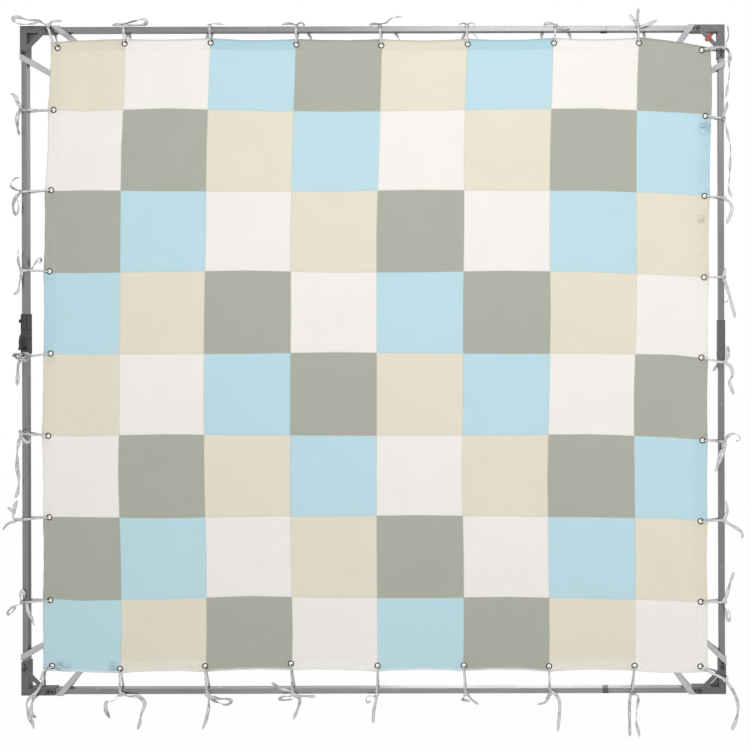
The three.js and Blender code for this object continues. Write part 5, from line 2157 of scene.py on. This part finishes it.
CLOTH_MIDDLE = (0.1, 0.0, MID_Z)
SOFTBOXES = (
    Softbox("key_softbox", (0.6, -2.6, 1.05), CLOTH_MIDDLE, (2.2, 1.5), 34.0),
    Softbox("fill_softbox", (-1.0, -3.2, -0.6), CLOTH_MIDDLE, (1.6, 1.6), 14.0),
    Softbox("back_strip", (0.1, 0.5, -2.0), (0.1, 0.0, -2.283), (2.7, 0.16), 0.5, matt=False),
    Softbox("bright_strip", (0.44, 0.52, -1.99), (0.44, 0.0, -2.283), (1.0, 0.16), 0.4, matt=False),
    Softbox("floor_strip", (0.15, -0.36, -2.45), (0.15, 0.0, -2.283), (1.6, 0.25), 0.2, matt=False),
    Softbox("rear_card", (0.3, 2.1, 0.3), (-1.2, 0.0, -0.3), (1.2, 1.2), 0.8, matt=False),
    Softbox("side_softbox", (2.2, -1.5, -1.5), (1.0, 0.0, -1.3), (1.0, 1.5), 4.0, gloss=False),
)


@dataclass
class Studio:
    """The pale floor, the soft lights and the camera."""

    distance: float = 2450 * MM
    aside: float = 540 * MM
    above: float = 200 * MM
    picture_x: float = 6.9 * MM
    picture_z: float = -53.3 * MM
    field: float = 2597 * MM
    sensor: float = 36.0
    roll: float = math.radians(-0.13)
    ambient: float = 0.62
    white: float = 0.972
    floor_z: float = -2.466
    floor_half: float = 4.0
    floor_front: float = -3.2
    floor_split: float = 0.5
    floor_rear: float = 9.0

    def camera(self) -> None:
        """Sets the camera square to the frame, with the picture shifted onto it."""
        data = bpy.data.cameras.new("camera")
        data.sensor_width = self.sensor
        data.lens = self.sensor * self.distance / self.field
        data.shift_x = (self.picture_x - self.aside) / self.field
        data.shift_y = (self.picture_z - self.above) / self.field
        made = shown("camera", data)
        place = Matrix.Translation(spot(self.aside, self.above, TUBE / 2 + self.distance))
        level = Matrix.Rotation(math.pi / 2, 4, "X")
        made.matrix_world = place @ level @ Matrix.Rotation(self.roll, 4, "Z")
        bpy.context.scene.camera = made

    def light(self, box: Softbox) -> None:
        """Hangs a softbox.

        Args:
            box: The softbox.
        """
        data = bpy.data.lights.new(box.name, "AREA")
        data.shape = "RECTANGLE"
        data.size, data.size_y = box.size
        data.energy = box.power
        made = shown(box.name, data)
        made.location = box.place
        aim = Vector(box.target) - Vector(box.place)
        made.rotation_euler = aim.to_track_quat("-Z", "Y").to_euler()
        made.visible_camera = False
        made.visible_glossy = box.gloss
        made.visible_diffuse = box.matt
        if not box.matt:
            data.spread = math.radians(90)

    def world(self) -> None:
        """Makes the white surround, which is dimmer as a light than it is seen."""
        made = bpy.data.worlds.new("white_studio")
        made.use_nodes = True
        nodes = Nodes(made.node_tree)
        nodes.tree.nodes.clear()
        seen = nodes.node("ShaderNodeBackground", Color=(1, 1, 1, 1))
        lit = nodes.node("ShaderNodeBackground", Color=(1, 1, 1, 1), Strength=self.ambient)
        self.mix(nodes, self.plain_rays(nodes), lit, seen, "ShaderNodeOutputWorld")
        bpy.context.scene.world = made

    def plain_rays(self, nodes: Nodes) -> Socket:
        """Tells rays that see the surround from rays that gather light.

        Args:
            nodes: The tree that asks.

        Returns:
            1 for camera, glossy and transmission rays, else 0.
        """
        path = nodes.node("ShaderNodeLightPath")
        found = path.outputs["Is Camera Ray"]
        for name in ("Is Glossy Ray", "Is Transmission Ray"):
            found = nodes.maths("MAXIMUM", found, path.outputs[name])
        return found

    def mix(self, nodes: Nodes, share: Socket, first: Node, second: Node, output: str) -> None:
        """Mixes two shaders into the tree's output.

        Args:
            nodes: The tree.
            share: Where the second shader shows.
            first: The first shader.
            second: The second shader.
            output: The output node's type name.
        """
        made = nodes.node("ShaderNodeMixShader", Fac=share)
        for shader, socket in zip((first, second), made.inputs[1:]):
            nodes.link(shader.outputs[0], socket)
        nodes.node(output, Surface=made.outputs[0])

    def floor(self, name: str, near: float, far: float, mirrored: bool) -> None:
        """Lays a pale floor, which is white to the camera apart from a faint shadow.

        Args:
            name: Its name.
            near: Where it starts, front to rear.
            far: Where it ends.
            mirrored: Whether metal shows it white too, not as the matt floor it is.
        """
        material = bpy.data.materials.new(name)
        material.use_nodes = True
        nodes = Nodes(material.node_tree)
        nodes.tree.nodes.clear()
        matt = nodes.node("ShaderNodeBsdfDiffuse", Color=(0.9, 0.9, 0.9, 1))
        glow = nodes.node("ShaderNodeEmission")
        if mirrored:
            seen = self.plain_rays(nodes)
        else:
            seen = nodes.node("ShaderNodeLightPath").outputs["Is Camera Ray"]
        faint = nodes.maths("MULTIPLY", seen, self.white)
        self.mix(nodes, faint, matt, glow, "ShaderNodeOutputMaterial")
        mesh = bpy.data.meshes.new(name)
        wide, z = self.floor_half, self.floor_z
        corners = [(-wide, near, z), (wide, near, z), (wide, far, z), (-wide, far, z)]
        mesh.from_pydata(corners, [], [(0, 1, 2, 3)])
        mesh.materials.append(material)
        shown(name, mesh)

    def build(self) -> None:
        """Sets up floor, surround and lights."""
        bpy.context.scene.view_settings.view_transform = "Standard"
        self.floor("floor", self.floor_front, self.floor_split, True)
        self.floor("rear_floor", self.floor_split, self.floor_rear, False)
        self.world()
        for box in SOFTBOXES:
            self.light(box)


def main() -> None:
    """Builds the cloth and its frame."""
    logging.basicConfig(level=logging.INFO, format="%(name)s: %(message)s")
    studio = Studio()
    studio.camera()
    finishes = Finishes()
    for tie in TIES:
        TieWork(tie, finishes).build()
    CornerStraps(finishes).build()
    PatchworkCloth(finishes).dress()
    FrameFittings(finishes).dress()
    studio.build()
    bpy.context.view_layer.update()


if __name__ == "__main__":
    main()
